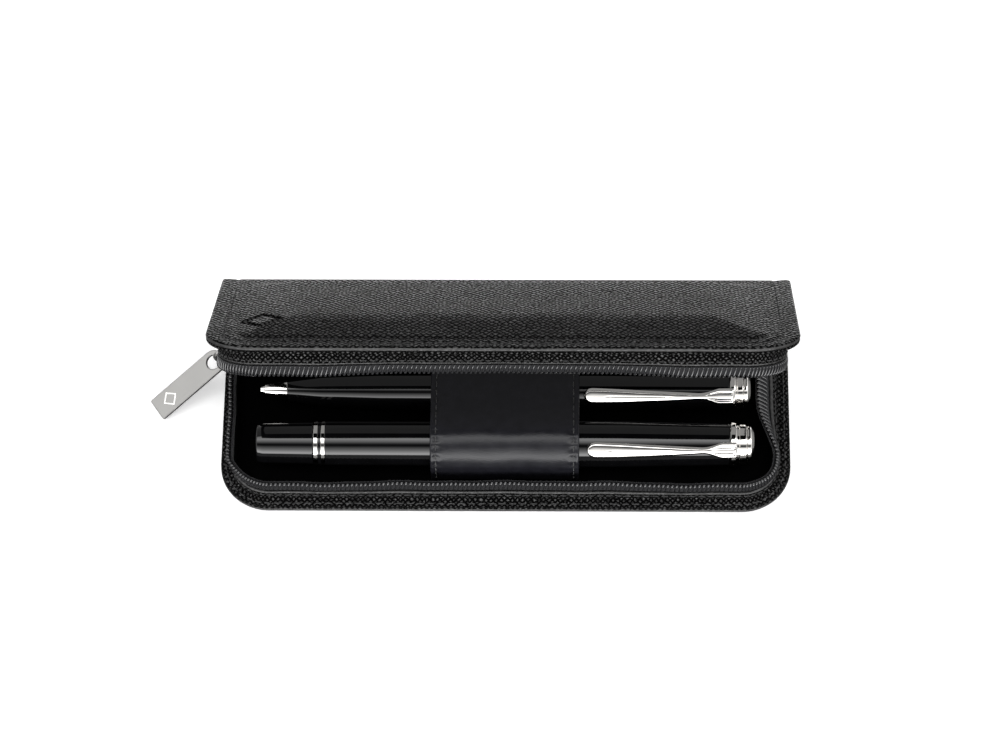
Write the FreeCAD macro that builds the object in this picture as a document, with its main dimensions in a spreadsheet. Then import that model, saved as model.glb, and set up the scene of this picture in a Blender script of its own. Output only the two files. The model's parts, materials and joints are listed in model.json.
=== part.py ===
"""Fountain pen case: a soft leather case that zips round three sides and opens like a book.

Frame: millimetres, +X to the right, +Y from the front edge towards the spine, +Z up.
The origin is the centre of the tray's underside. The lid is placed as it stands open.
"""
import FreeCAD, Part
import math
import os
import Sketcher

DIMENSIONS = {
    # the case
    "case_width": 162, "case_depth": 63, "case_height": 22, "corner_radius": 14,
    "lid_opening": 45, "skin": 1.2, "flap_gap": 1.25, "wall_end": 29,
    "flange": 3.2, "gusset": 0.9, "wall_top": 5.9, "board": 1.0, "lining": 0.8,
    "padding": 0.6, "thin_board": 0.6, "thin_lining": 0.6, "panel_gap": 0.1,
    "tape": 0.5, "tape_foot": 3.1, "tape_top": 9.5, "side_lining_gap": 0.1,
    "side_lining": 0.5, "side_lining_foot": 3.0, "side_lining_top": 6.4,
    "coil": 1.5, "coil_low": 7.6, "coil_high": 10.4, "coil_end": 27,
    "stop_gap": 0.1, "stop_length": 1.8, "stop_proud": 0.2,
    "thread": 0.5, "thread_inset": 2.2, "thread_height": 0.4,
    "spine_margin": 5, "spine_low": 3.2, "spine_high": 18.8, "spine_board": 0.7, "spine_lining": 0.5,
    # the loops
    "band_half": 21, "band_leather": 1.0, "band_lining": 0.4, "floor_level": 3.0,
    "front_loop": -14.8, "middle_loop": 2.4, "rear_loop": 20.4,
    "front_loop_height": 10.0, "middle_loop_height": 9.0, "rear_loop_height": 7.2,
    "front_loop_radius": 7.1, "middle_loop_radius": 6.0, "rear_loop_radius": 5.4,
    "divider": 1.2, "divider_top": 11.8, "front_divider": -5.35, "rear_divider": 11.7,
    "stitch_margin": 1.5, "stitch_height": 0.25, "stitch_width": 0.4,
    # the zip's slider and pull
    "slider_place": 14, "slider_length": 9, "slider_low": 6.6, "slider_high": 14.8,
    "slider_outside": 80.2, "slider_inside": 75.1, "slider_plate": 0.8,
    "post_low": 10.5, "post_high": 11.5, "post_length": 2.5,
    "bail_place": 12, "bail_height": 10.6, "bail_radius": 3.1, "bail_wire": 0.55, "pivot_out": 1.7,
    "pull_thickness": 1.1, "pull_half": 3.5, "pull_end": 24, "eye_place": 2.4, "eye_radius": 2.1,
    "pull_drop": 22.5, "pull_heading": 214.8,
    # the fountain pen, measured from its tail
    "fountain_start": -70.3, "fountain_length": 141, "knob_length": 16.3, "knob_gap": 0.1,
    "knob_radius": 6.0, "knob_round": 2.5, "stub_radius": 3.0, "stub_end": 22, "running_gap": 0.05,
    "ring_one_end": 17.6, "ring_two_start": 18.5, "ring_two_end": 19.6, "neck_radius": 5.2,
    "knob_end_radius": 5.5, "knob_bore_start": 11, "spacer_radius": 6.15,
    "ring_radius": 6.25, "barrel_radius": 6.3, "barrel_end": 74, "chamber_start": 24,
    "chamber_radius": 4.4, "spigot_radius": 5.5, "spigot_end": 80,
    "rod_start": 12, "rod_radius": 1.4, "piston_start": 26, "piston_end": 32,
    "section_start": 76, "section_end": 97, "section_wide": 5.3, "section_narrow": 4.6,
    "feed_bore": 2.2, "feed_start": 82, "feed_shoulder": 102, "feed_end": 112, "feed_tip": 0.5,
    "feed_gap": 0.25,
    "nib_start": 88, "nib_shoulder": 104, "nib_end": 116, "nib_arc": 130, "nib_sheet": 0.2,
    "cap_start": 75, "cap_radius": 6.7, "cap_end": 133.7, "cap_end_radius": 5.9, "cap_bore": 5.75,
    "cap_step": 98, "inner_cap_bore": 5.3, "inner_cap_end": 122, "lip_start": 76.5, "lip_end": 80.5,
    "lip_seat": 6.45, "lip_radius": 6.9, "crown_end": 138.6, "crown_radius": 5.8,
    "crown_step_radius": 5.5, "finial_radius": 5.4, "finial_round": 1.8,
    # the clips
    "clip_tip": 93.3, "clip_waist": 126, "clip_root": 135.6, "clip_tip_half": 2.4, "clip_waist_half": 1.1,
    "clip_root_half": 2.9, "clip_low": 7.3, "clip_sheet": 0.9, "clip_tab": 2.1, "clip_tab_low": 5.4,
    "clip_foot": 2.2, "clip_foot_low": 6.75, "clip_turn": 39,
    # the ball pen, measured from its writing tip
    "ball_start": -70, "ball_length": 140, "cone_end": 7.9, "cone_tip_radius": 1.2, "cone_radius": 3.1,
    "tip_hole": 0.55, "tip_hole_end": 1.6, "cone_bore": 1.7, "flare_middle": 17,
    "flare_middle_radius": 4.816, "flare_end": 34, "flare_radius": 5.6,
    "ball_radius": 5.85, "ball_joint": 70, "socket_start": 62, "socket_radius": 4.0,
    "ball_ring_start": 70.1, "ball_ring_end": 72, "ball_ring_radius": 5.93, "refill_bore_end": 61,
    "ball_bore": 2.0, "ball_bore_end": 106, "ball_cap_end": 133.6, "ball_cap_radius": 5.4,
    "ball_crown_end": 137.6, "ball_crown_radius": 5.2, "ball_crown_step_radius": 4.9,
    "ball_finial_radius": 4.8, "ball_finial_round": 1.6,
    "refill_tip": 0.4, "refill_nose_radius": 0.5, "refill_shoulder": 6.8, "refill_radius": 1.5,
    "refill_end": 100, "ball_clip_shift": -1.2, "ball_clip_low": 6.3, "ball_foot_low": 5.7,
    "ball_clip_tab_low": 4.9,
}

# how far cutting shapes run past the material, and where a clip's rounded tip turns, as shares
OVERCUT = 1
TIP_FLAT = 0.45
TIP_SHOULDER = 0.9

doc = FreeCAD.newDocument("FountainPenCase")
sheet = doc.addObject("Spreadsheet::Sheet", "Dimensions")
for row, (alias, amount) in enumerate(DIMENSIONS.items(), start=1):
    sheet.set(f"A{row}", alias)
    sheet.set(f"B{row}", str(amount))
    sheet.setAlias(f"B{row}", alias)
doc.recompute()


class Size:
    """A length or angle: its value now, and the sheet expression that drives it."""

    def __init__(self, value, text):
        self.value = value
        self.text = text

    def __add__(self, other):
        other = sized(other)
        return Size(self.value + other.value, f"({self.text} + {other.text})")

    def __sub__(self, other):
        other = sized(other)
        return Size(self.value - other.value, f"({self.text} - {other.text})")

    def __mul__(self, factor):
        return Size(self.value * factor, f"({self.text} * {factor})")

    def __neg__(self):
        return Size(-self.value, f"(-1 * {self.text})")


def sized(amount):
    return amount if isinstance(amount, Size) else Size(float(amount), str(float(amount)))


def cell(alias):
    return Size(float(sheet.get(alias)), f"Dimensions.{alias}")


ZERO = Size(0.0, "0")
PIECES = []


# ---------------------------------------------------------------- building helpers

def bind(thing, name, size):
    thing.setExpression(name, size.text)


def new_body(name):
    body = doc.addObject("PartDesign::Body", name)
    body.Label = name
    PIECES.append(body)
    return body


def sketch_on(body, role, name, level=None):
    sketch = body.newObject("Sketcher::SketchObject", f"{body.Name}_{name}")
    plane = next(part for part in body.Origin.OriginFeatures if part.Role == role)
    sketch.AttachmentSupport = [(plane, "")]
    sketch.MapMode = "FlatFace"
    if level is not None:
        bind(sketch, "AttachmentOffset.Base.z", level)
    return sketch


def place(sketch, geometry, end, x, y):
    """Fix one end of a sketch line or arc by two driven distances from the origin."""
    for kind, axis, size in (("DistanceX", -2, x), ("DistanceY", -1, y)):
        if abs(size.value) < 1e-9:
            sketch.addConstraint(Sketcher.Constraint("PointOnObject", geometry, end, axis))
            continue
        rule = sketch.addConstraint(Sketcher.Constraint(kind, -1, 1, geometry, end, size.value))
        bind(sketch, f"Constraints[{rule}]", size)


def polygon(sketch, corners):
    """A closed outline of straight lines through driven corners."""
    first = sketch.GeometryCount
    spots = [FreeCAD.Vector(x.value, y.value, 0) for x, y in corners]
    for spot, following in zip(spots, spots[1:] + spots[:1]):
        sketch.addGeometry(Part.LineSegment(spot, following))
    last = first + len(corners) - 1
    for number in range(first, last + 1):
        following = number + 1 if number < last else first
        sketch.addConstraint(Sketcher.Constraint("Coincident", number, 2, following, 1))
    for number, (x, y) in enumerate(corners, start=first):
        place(sketch, number, 1, x, y)


def driven_radius(sketch, arc, radius):
    rule = sketch.addConstraint(Sketcher.Constraint("Radius", arc, radius.value))
    bind(sketch, f"Constraints[{rule}]", radius)


def arc_of(x, y, radius, start, end):
    circle = Part.Circle(FreeCAD.Vector(x, y, 0), FreeCAD.Vector(0, 0, 1), radius)
    return Part.ArcOfCircle(circle, math.radians(start), math.radians(end))


def book_outline(sketch, inset, rear):
    """The case's outline seen from above, inset all round: rounded in front, straight behind."""
    half = cell("case_width") * 0.5 - inset
    front = inset - cell("case_depth") * 0.5
    radius = cell("corner_radius") - inset
    straight = half.value - radius.value
    bend = front.value + radius.value
    spots = {
        "rear_left": FreeCAD.Vector(-half.value, rear.value, 0),
        "bend_left": FreeCAD.Vector(-half.value, bend, 0),
        "front_left": FreeCAD.Vector(-straight, front.value, 0),
        "front_right": FreeCAD.Vector(straight, front.value, 0),
        "bend_right": FreeCAD.Vector(half.value, bend, 0),
        "rear_right": FreeCAD.Vector(half.value, rear.value, 0),
    }
    sketch.addGeometry(Part.LineSegment(spots["rear_left"], spots["bend_left"]))
    sketch.addGeometry(arc_of(-straight, bend, radius.value, 180, 270))
    sketch.addGeometry(Part.LineSegment(spots["front_left"], spots["front_right"]))
    sketch.addGeometry(arc_of(straight, bend, radius.value, 270, 360))
    sketch.addGeometry(Part.LineSegment(spots["bend_right"], spots["rear_right"]))
    sketch.addGeometry(Part.LineSegment(spots["rear_right"], spots["rear_left"]))
    for number in range(4):
        sketch.addConstraint(Sketcher.Constraint("Tangent", number, 2, number + 1, 1))
    sketch.addConstraint(Sketcher.Constraint("Coincident", 4, 2, 5, 1))
    sketch.addConstraint(Sketcher.Constraint("Coincident", 5, 2, 0, 1))
    sketch.addConstraint(Sketcher.Constraint("Vertical", 0))
    sketch.addConstraint(Sketcher.Constraint("Vertical", 4))
    sketch.addConstraint(Sketcher.Constraint("Horizontal", 2))
    place(sketch, 0, 1, -half, rear)
    place(sketch, 4, 2, half, rear)
    rule = sketch.addConstraint(Sketcher.Constraint("DistanceY", -1, 1, 2, 1, front.value))
    bind(sketch, f"Constraints[{rule}]", front)
    driven_radius(sketch, 1, radius)
    driven_radius(sketch, 3, radius)


def pad(body, sketch, length, midplane=False):
    feature = body.newObject("PartDesign::Pad", f"{sketch.Name}_pad")
    feature.Profile = sketch
    bind(feature, "Length", length)
    feature.Midplane = midplane
    return feature


def pocket(body, sketch, depth, midplane=False):
    """Cut against the sketch's normal, and stop if nothing was cut."""
    doc.recompute()
    before = body.Shape.Volume
    feature = body.newObject("PartDesign::Pocket", f"{sketch.Name}_pocket")
    feature.Profile = sketch
    bind(feature, "Length", depth)
    feature.Midplane = midplane
    doc.recompute()
    if body.Shape.Volume >= before:
        raise RuntimeError(f"{feature.Name} cuts nothing")
    return feature


def slab(name, inset, rear, low, thickness):
    """A flat panel with the case's outline."""
    body = new_body(name)
    sketch = sketch_on(body, "XY_Plane", "outline", low)
    book_outline(sketch, inset, rear)
    pad(body, sketch, thickness)


def u_wall(body, outer, inner, rear, low, high, name="wall"):
    """A wall that runs up one side, along the front and back down the other side."""
    outside = sketch_on(body, "XY_Plane", f"{name}_outside", low)
    book_outline(outside, outer, rear)
    pad(body, outside, high - low)
    inside = sketch_on(body, "XY_Plane", f"{name}_inside", high)
    book_outline(inside, inner, rear + OVERCUT)
    pocket(body, inside, high - low)


def turned(name, corners, turn=360):
    """A piece turned about its own X axis from a closed half profile of (along, radius) corners."""
    body = new_body(name)
    sketch = sketch_on(body, "XZ_Plane", "profile")
    polygon(sketch, corners)
    feature = body.newObject("PartDesign::Revolution", f"{name}_turn")
    feature.Profile = sketch
    feature.ReferenceAxis = (sketch, ["H_Axis"])
    feature.Angle = turn
    feature.Midplane = turn < 360
    return body


def round_rims(body, rims, radius):
    """Round the circular edges at the given (along, radius) places of a turned piece."""
    doc.recompute()
    names = []
    for number, edge in enumerate(body.Shape.Edges, start=1):
        if not isinstance(edge.Curve, Part.Circle):
            continue
        for along, rim in rims:
            near = abs(edge.Curve.Center.x - along.value) < 1e-3
            if near and abs(edge.Curve.Radius - rim.value) < 1e-3:
                names.append(f"Edge{number}")
    turned_feature = body.Tip
    feature = body.newObject("PartDesign::Fillet", f"{body.Name}_round")
    feature.Base = (turned_feature, names)
    bind(feature, "Radius", radius)


def block(body, role, name, corners, length, level, midplane=False):
    sketch = sketch_on(body, role, name, level)
    polygon(sketch, corners)
    return pad(body, sketch, length, midplane)


def rectangle(left, right, low, high):
    return [(left, low), (right, low), (right, high), (left, high)]


# ---------------------------------------------------------------- the two halves of the case

def half_case(side, layers):
    """One half, built as the tray lies: cover underneath, walls standing up.

    layers lists the flat layers inside the cover from the outside in: name and thickness cell.
    """
    flap_end = cell("case_depth") * 0.5 - cell("flap_gap")
    wall_end = cell("wall_end")
    skin = cell("skin")
    flange = cell("flange")
    wall_inside = flange + cell("gusset")
    slab(f"{side}_cover", ZERO, flap_end, ZERO, skin)
    level = skin
    for name, thickness in layers:
        slab(f"{side}_{name}", wall_inside + cell("panel_gap"), wall_end, level, cell(thickness))
        level = level + cell(thickness)

    gusset = new_body(f"{side}_gusset")
    u_wall(gusset, flange, wall_inside, wall_end, skin, cell("wall_top"))
    u_wall(gusset, ZERO, wall_inside, wall_end, skin, skin + cell("gusset"), "flange")

    tape_inside = wall_inside + cell("tape")
    tape = new_body(f"{side}_zip_tape")
    u_wall(tape, wall_inside, tape_inside, wall_end, cell("tape_foot"), cell("tape_top"))

    coil = new_body(f"{side}_zip_coil")
    coil_outside = wall_inside - cell("coil")
    u_wall(coil, coil_outside, wall_inside, cell("coil_end"), cell("coil_low"), cell("coil_high"))

    lining_outside = tape_inside + cell("side_lining_gap")
    lining = new_body(f"{side}_wall_lining")
    u_wall(lining, lining_outside, lining_outside + cell("side_lining"), wall_end,
           cell("side_lining_foot"), cell("side_lining_top"))

    thread = new_body(f"{side}_edge_thread")
    flange_top = skin + cell("gusset")
    u_wall(thread, cell("thread_inset"), cell("thread_inset") + cell("thread"), wall_end,
           flange_top, flange_top + cell("thread_height"))

    stops = new_body(f"{side}_zip_stops")
    stop_start = cell("coil_end") + cell("stop_gap")
    outside = cell("case_width") * 0.5 - coil_outside + cell("stop_proud")
    inside = cell("case_width") * 0.5 - wall_inside
    corners = rectangle(inside, outside, stop_start, stop_start + cell("stop_length"))
    mirrored = rectangle(-outside, -inside, stop_start, stop_start + cell("stop_length"))
    for name, outline in (("right", corners), ("left", mirrored)):
        block(stops, "XY_Plane", name, outline, cell("coil_high") - cell("coil_low"), cell("coil_low"))


def spine():
    """The narrow back panel that joins the halves, standing upright behind the tray."""
    outside = cell("case_depth") * 0.5
    half = cell("case_width") * 0.5
    inner = outside - cell("skin")
    for name, thickness, margin, low, high in (
        ("spine_cover", cell("skin"), ZERO, ZERO, cell("case_height")),
        ("spine_board", cell("spine_board"), cell("spine_margin"), cell("spine_low"), cell("spine_high")),
        ("spine_lining", cell("spine_lining"), cell("spine_margin"), cell("spine_low"), cell("spine_high")),
    ):
        face = outside if name == "spine_cover" else inner
        reach = half - margin
        body = new_body(name)
        block(body, "XY_Plane", "plan", rectangle(-reach, reach, face - thickness, face), high - low, low)
        if name != "spine_cover":
            inner = inner - thickness


# ---------------------------------------------------------------- the pen loops

LOOPS = ("front_loop", "middle_loop", "rear_loop")


def draped_outline(sketch, growth, foot):
    """The cross-section under a strip drawn tight over the three loops, closed along its foot.

    The sketch lies in the YZ plane. Each loop is a circle grown by the given thickness.
    """
    centres = [(cell(name), cell(f"{name}_height")) for name in LOOPS]
    radii = [cell(f"{name}_radius") + growth for name in LOOPS]
    leans = []
    for one in range(2):
        run = centres[one + 1][0].value - centres[one][0].value
        rise = centres[one + 1][1].value - centres[one][1].value
        shrink = radii[one].value - radii[one + 1].value
        leans.append(math.atan2(rise, run) + math.acos(shrink / math.hypot(run, rise)))
    ends = [(math.degrees(leans[0]), 180), (math.degrees(leans[1]), math.degrees(leans[0])),
            (0, math.degrees(leans[1]))]

    def on_circle(loop, angle):
        turn = math.radians(angle)
        return FreeCAD.Vector(centres[loop][0].value + radii[loop].value * math.cos(turn),
                              centres[loop][1].value + radii[loop].value * math.sin(turn), 0)

    front = on_circle(0, 180)
    rear = on_circle(2, 0)
    front_foot = FreeCAD.Vector(front.x, foot.value, 0)
    rear_foot = FreeCAD.Vector(rear.x, foot.value, 0)
    for loop in range(3):
        sketch.addGeometry(arc_of(centres[loop][0].value, centres[loop][1].value,
                                  radii[loop].value, *ends[loop]))
    sketch.addGeometry(Part.LineSegment(on_circle(0, ends[0][0]), on_circle(1, ends[1][1])))
    sketch.addGeometry(Part.LineSegment(on_circle(1, ends[1][0]), on_circle(2, ends[2][1])))
    sketch.addGeometry(Part.LineSegment(front_foot, front))
    sketch.addGeometry(Part.LineSegment(rear, rear_foot))
    sketch.addGeometry(Part.LineSegment(rear_foot, front_foot))
    for joint in ((3, 1, 0, 1), (3, 2, 1, 2), (4, 1, 1, 1), (4, 2, 2, 2), (5, 2, 0, 2), (6, 1, 2, 1)):
        sketch.addConstraint(Sketcher.Constraint("Tangent", *joint))
    sketch.addConstraint(Sketcher.Constraint("Coincident", 6, 2, 7, 1))
    sketch.addConstraint(Sketcher.Constraint("Coincident", 7, 2, 5, 1))
    sketch.addConstraint(Sketcher.Constraint("Vertical", 5))
    sketch.addConstraint(Sketcher.Constraint("Vertical", 6))
    sketch.addConstraint(Sketcher.Constraint("Horizontal", 7))
    rule = sketch.addConstraint(Sketcher.Constraint("DistanceY", -1, 1, 7, 1, foot.value))
    bind(sketch, f"Constraints[{rule}]", foot)
    for loop in range(3):
        driven_radius(sketch, loop, radii[loop])
        place(sketch, loop, 3, *centres[loop])


def draped_strip(body, name, inner, outer, half, level=None):
    """A strip over the loops between two growths, half the given width each way from its middle."""
    floor = cell("floor_level")
    outside = sketch_on(body, "YZ_Plane", f"{name}_outside", level)
    draped_outline(outside, outer, floor)
    pad(body, outside, half * 2, midplane=True)
    inside = sketch_on(body, "YZ_Plane", f"{name}_inside", level)
    draped_outline(inside, inner, floor - OVERCUT)
    pocket(body, inside, half * 2 + OVERCUT, midplane=True)


def pen_loops():
    lining = cell("band_lining")
    leather = lining + cell("band_leather")
    half = cell("band_half")
    draped_strip(new_body("pen_band"), "band", lining, leather, half)
    draped_strip(new_body("pen_band_lining"), "band", ZERO, lining, half)

    dividers = new_body("loop_dividers")
    for name in ("front_divider", "rear_divider"):
        middle = cell(name)
        thin = cell("divider") * 0.5
        block(dividers, "XY_Plane", name, rectangle(-half, half, middle - thin, middle + thin),
              cell("divider_top") - cell("floor_level"), cell("floor_level"))

    stitch = cell("stitch_width") * 0.5
    place_out = half - cell("stitch_margin")
    thread = new_body("band_thread")
    for name, level in (("right", place_out), ("left", -place_out)):
        draped_strip(thread, name, leather, leather + cell("stitch_height"), stitch, level)


# ---------------------------------------------------------------- the zip's slider and pull

def zip_slider():
    outside = cell("slider_outside")
    inside = cell("slider_inside")
    plate = cell("slider_plate")
    low = cell("slider_low")
    high = cell("slider_high")
    start = cell("slider_place") - cell("slider_length") * 0.5
    end = start + cell("slider_length")
    body = new_body("slider_body")
    block(body, "XY_Plane", "outer_plate", rectangle(-outside, plate - outside, start, end), high - low, low)
    post = rectangle(plate - outside, -inside - plate, start, start + cell("post_length"))
    block(body, "XY_Plane", "post", post, cell("post_high") - cell("post_low"), cell("post_low"))
    block(body, "XY_Plane", "inner_plate", rectangle(-inside - plate, -inside, start, end), high - low, low)

    bail = doc.addObject("Part::Torus", "slider_bail")
    bail.Label = "slider_bail"
    bind(bail, "Radius1", cell("bail_radius"))
    bind(bail, "Radius2", cell("bail_wire"))
    bail.Angle3 = 180
    spot = FreeCAD.Vector(-outside.value, cell("bail_place").value, cell("bail_height").value)
    upright = FreeCAD.Rotation(FreeCAD.Vector(1, 0, 0), 90)
    outward = FreeCAD.Rotation(FreeCAD.Vector(0, 0, 1), 90)
    bail.Placement = FreeCAD.Placement(spot, upright * outward)
    PIECES.append(bail)


def puller():
    """The pull: a flat bar with a round eye, hanging from the bail out to the left."""
    body = new_body("puller")
    sketch = sketch_on(body, "XY_Plane", "outline")
    eye = cell("eye_place")
    half = cell("pull_half")
    end = cell("pull_end")
    corners = [(eye.value, half.value), (eye.value, -half.value), (end.value, -half.value),
               (end.value, half.value)]
    spots = [FreeCAD.Vector(x, y, 0) for x, y in corners]
    sketch.addGeometry(arc_of(eye.value, 0, half.value, 90, 270))
    sketch.addGeometry(Part.LineSegment(spots[1], spots[2]))
    sketch.addGeometry(Part.LineSegment(spots[2], spots[3]))
    sketch.addGeometry(Part.LineSegment(spots[3], spots[0]))
    sketch.addConstraint(Sketcher.Constraint("Tangent", 0, 2, 1, 1))
    sketch.addConstraint(Sketcher.Constraint("Coincident", 1, 2, 2, 1))
    sketch.addConstraint(Sketcher.Constraint("Coincident", 2, 2, 3, 1))
    sketch.addConstraint(Sketcher.Constraint("Tangent", 3, 2, 0, 1))
    sketch.addConstraint(Sketcher.Constraint("Horizontal", 1))
    sketch.addConstraint(Sketcher.Constraint("Vertical", 2))
    place(sketch, 0, 3, eye, ZERO)
    place(sketch, 2, 1, end, -half)
    sketch.addGeometry(Part.Circle(FreeCAD.Vector(eye.value, 0, 0), FreeCAD.Vector(0, 0, 1),
                                   cell("eye_radius").value))
    driven_radius(sketch, 4, cell("eye_radius"))
    sketch.addConstraint(Sketcher.Constraint("Coincident", 4, 3, 0, 3))
    pad(body, sketch, cell("pull_thickness"), midplane=True)
    drop = FreeCAD.Rotation(FreeCAD.Vector(0, 1, 0), cell("pull_drop").value)
    heading = FreeCAD.Rotation(FreeCAD.Vector(0, 0, 1), cell("pull_heading").value)
    pivot = FreeCAD.Vector(-cell("slider_outside").value - cell("pivot_out").value,
                           cell("bail_place").value, cell("bail_height").value)
    body.Placement = FreeCAD.Placement(pivot, heading * drop)


# ---------------------------------------------------------------- the pens

def tube(start, end, inner, outer):
    return [(start, inner), (end, inner), (end, outer), (start, outer)]


def clip(name, shift, low, foot_low, tab_low, turn):
    """A plain leaf clip: a rounded broad tip, a slim waist and a wider root with a tab."""
    tip = cell("clip_tip") + shift
    waist = cell("clip_waist") + shift
    root = cell("clip_root") + shift
    tip_half = cell("clip_tip_half")
    shoulder = tip + tip_half
    body = new_body(name)
    corners = [
        (tip, tip_half * TIP_FLAT), (tip, tip_half * -TIP_FLAT),
        (tip + tip_half * TIP_FLAT, tip_half * -TIP_SHOULDER),
        (shoulder, -tip_half), (waist, -cell("clip_waist_half")), (root, -cell("clip_root_half")),
        (root, cell("clip_root_half")), (waist, cell("clip_waist_half")), (shoulder, tip_half),
        (tip + tip_half * TIP_FLAT, tip_half * TIP_SHOULDER),
    ]
    block(body, "XY_Plane", "leaf", corners, cell("clip_sheet"), low)
    foot = cell("clip_foot") * 0.5
    block(body, "XY_Plane", "foot", rectangle(shoulder - foot, shoulder + foot, -foot, foot),
          low - foot_low, foot_low)
    tab = cell("clip_tab")
    block(body, "XY_Plane", "tab", rectangle(root - tab, root, -foot, foot), low - tab_low, tab_low)
    return body


def fountain_pen():
    knob_end = cell("knob_length")
    stub = cell("stub_radius")
    ease = cell("running_gap")
    rod = cell("rod_radius")
    tail = cell("knob_length") + cell("knob_gap")
    neck = cell("neck_radius")
    ring = cell("ring_radius")
    knob = turned("fountain_pen_piston_knob", [
        (ZERO, ZERO), (cell("knob_bore_start"), ZERO), (cell("knob_bore_start"), rod + ease),
        (cell("stub_end"), rod + ease), (cell("stub_end"), stub), (knob_end, stub),
        (knob_end, cell("knob_radius")), (ZERO, cell("knob_end_radius"))])
    round_rims(knob, [(ZERO, cell("knob_end_radius"))], cell("knob_round"))

    rings = new_body("fountain_pen_tail_rings")
    sketch = sketch_on(rings, "XZ_Plane", "profile")
    polygon(sketch, tube(tail, cell("ring_one_end"), neck, ring))
    polygon(sketch, tube(cell("ring_two_start"), cell("ring_two_end"), neck, ring))
    feature = rings.newObject("PartDesign::Revolution", "fountain_pen_tail_rings_turn")
    feature.Profile = sketch
    feature.ReferenceAxis = (sketch, ["H_Axis"])
    feature.Angle = 360
    spacer = turned("fountain_pen_spacer_ring",
                    tube(cell("ring_one_end"), cell("ring_two_start"), neck, cell("spacer_radius")))

    barrel = turned("fountain_pen_barrel", [
        (tail, stub + ease), (cell("chamber_start"), stub + ease),
        (cell("chamber_start"), cell("chamber_radius")), (cell("spigot_end"), cell("chamber_radius")),
        (cell("spigot_end"), cell("spigot_radius")), (cell("barrel_end"), cell("spigot_radius")),
        (cell("barrel_end"), cell("barrel_radius")), (cell("ring_two_end"), cell("barrel_radius")),
        (cell("ring_two_end"), neck), (tail, neck)])
    piston = turned("fountain_pen_piston", [
        (cell("rod_start"), ZERO), (cell("piston_end"), ZERO),
        (cell("piston_end"), cell("chamber_radius") - ease),
        (cell("piston_start"), cell("chamber_radius") - ease), (cell("piston_start"), rod),
        (cell("rod_start"), rod)])
    section = turned("fountain_pen_section", [
        (cell("section_start"), cell("feed_bore")), (cell("section_end"), cell("feed_bore")),
        (cell("section_end"), cell("section_narrow")), (cell("spigot_end"), cell("section_wide")),
        (cell("spigot_end"), cell("chamber_radius")), (cell("section_start"), cell("chamber_radius"))])
    feed_radius = cell("feed_bore") - cell("feed_gap")
    feed = turned("fountain_pen_feed", [
        (cell("feed_start"), ZERO), (cell("feed_end"), ZERO), (cell("feed_end"), cell("feed_tip")),
        (cell("feed_shoulder"), feed_radius), (cell("feed_start"), feed_radius)])
    sheet_inside = feed_radius + ease * 0.5
    sheet_outside = sheet_inside + cell("nib_sheet")
    nib = turned("fountain_pen_nib", [
        (cell("nib_start"), sheet_inside), (cell("feed_shoulder"), sheet_inside),
        (cell("nib_end"), cell("feed_tip")), (cell("nib_end"), cell("feed_tip") + cell("nib_sheet")),
        (cell("feed_shoulder"), sheet_outside), (cell("nib_start"), sheet_outside)], cell("nib_arc").value)

    cap = turned("fountain_pen_cap", [
        (cell("cap_start"), cell("cap_bore")), (cell("cap_step"), cell("cap_bore")),
        (cell("cap_step"), cell("inner_cap_bore")), (cell("inner_cap_end"), cell("inner_cap_bore")),
        (cell("inner_cap_end"), ZERO), (cell("cap_end"), ZERO), (cell("cap_end"), cell("cap_end_radius")),
        (cell("lip_end"), cell("cap_radius")), (cell("lip_end"), cell("lip_seat")),
        (cell("lip_start"), cell("lip_seat")), (cell("lip_start"), cell("cap_radius")),
        (cell("cap_start"), cell("cap_radius"))])
    lip = turned("fountain_pen_lip_ring",
                 tube(cell("lip_start"), cell("lip_end"), cell("lip_seat"), cell("lip_radius")))
    crown = turned("fountain_pen_crown_ring", [
        (cell("cap_end"), ZERO), (cell("crown_end"), ZERO), (cell("crown_end"), cell("crown_step_radius")),
        (cell("cap_end"), cell("crown_radius"))])
    finial_radius = cell("finial_radius")
    finial = turned("fountain_pen_finial", [
        (cell("crown_end"), ZERO), (cell("fountain_length"), ZERO),
        (cell("fountain_length"), finial_radius), (cell("crown_end"), finial_radius)])
    round_rims(finial, [(cell("fountain_length"), finial_radius)], cell("finial_round"))
    leaf = clip("fountain_pen_clip", ZERO, cell("clip_low"), cell("clip_foot_low"),
                cell("clip_tab_low"), cell("clip_turn"))
    spot = FreeCAD.Vector(cell("fountain_start").value, cell("front_loop").value,
                          cell("front_loop_height").value)
    lay_pen([knob, rings, spacer, barrel, piston, section, feed, nib, cap, lip, crown, finial, leaf], spot)


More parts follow.
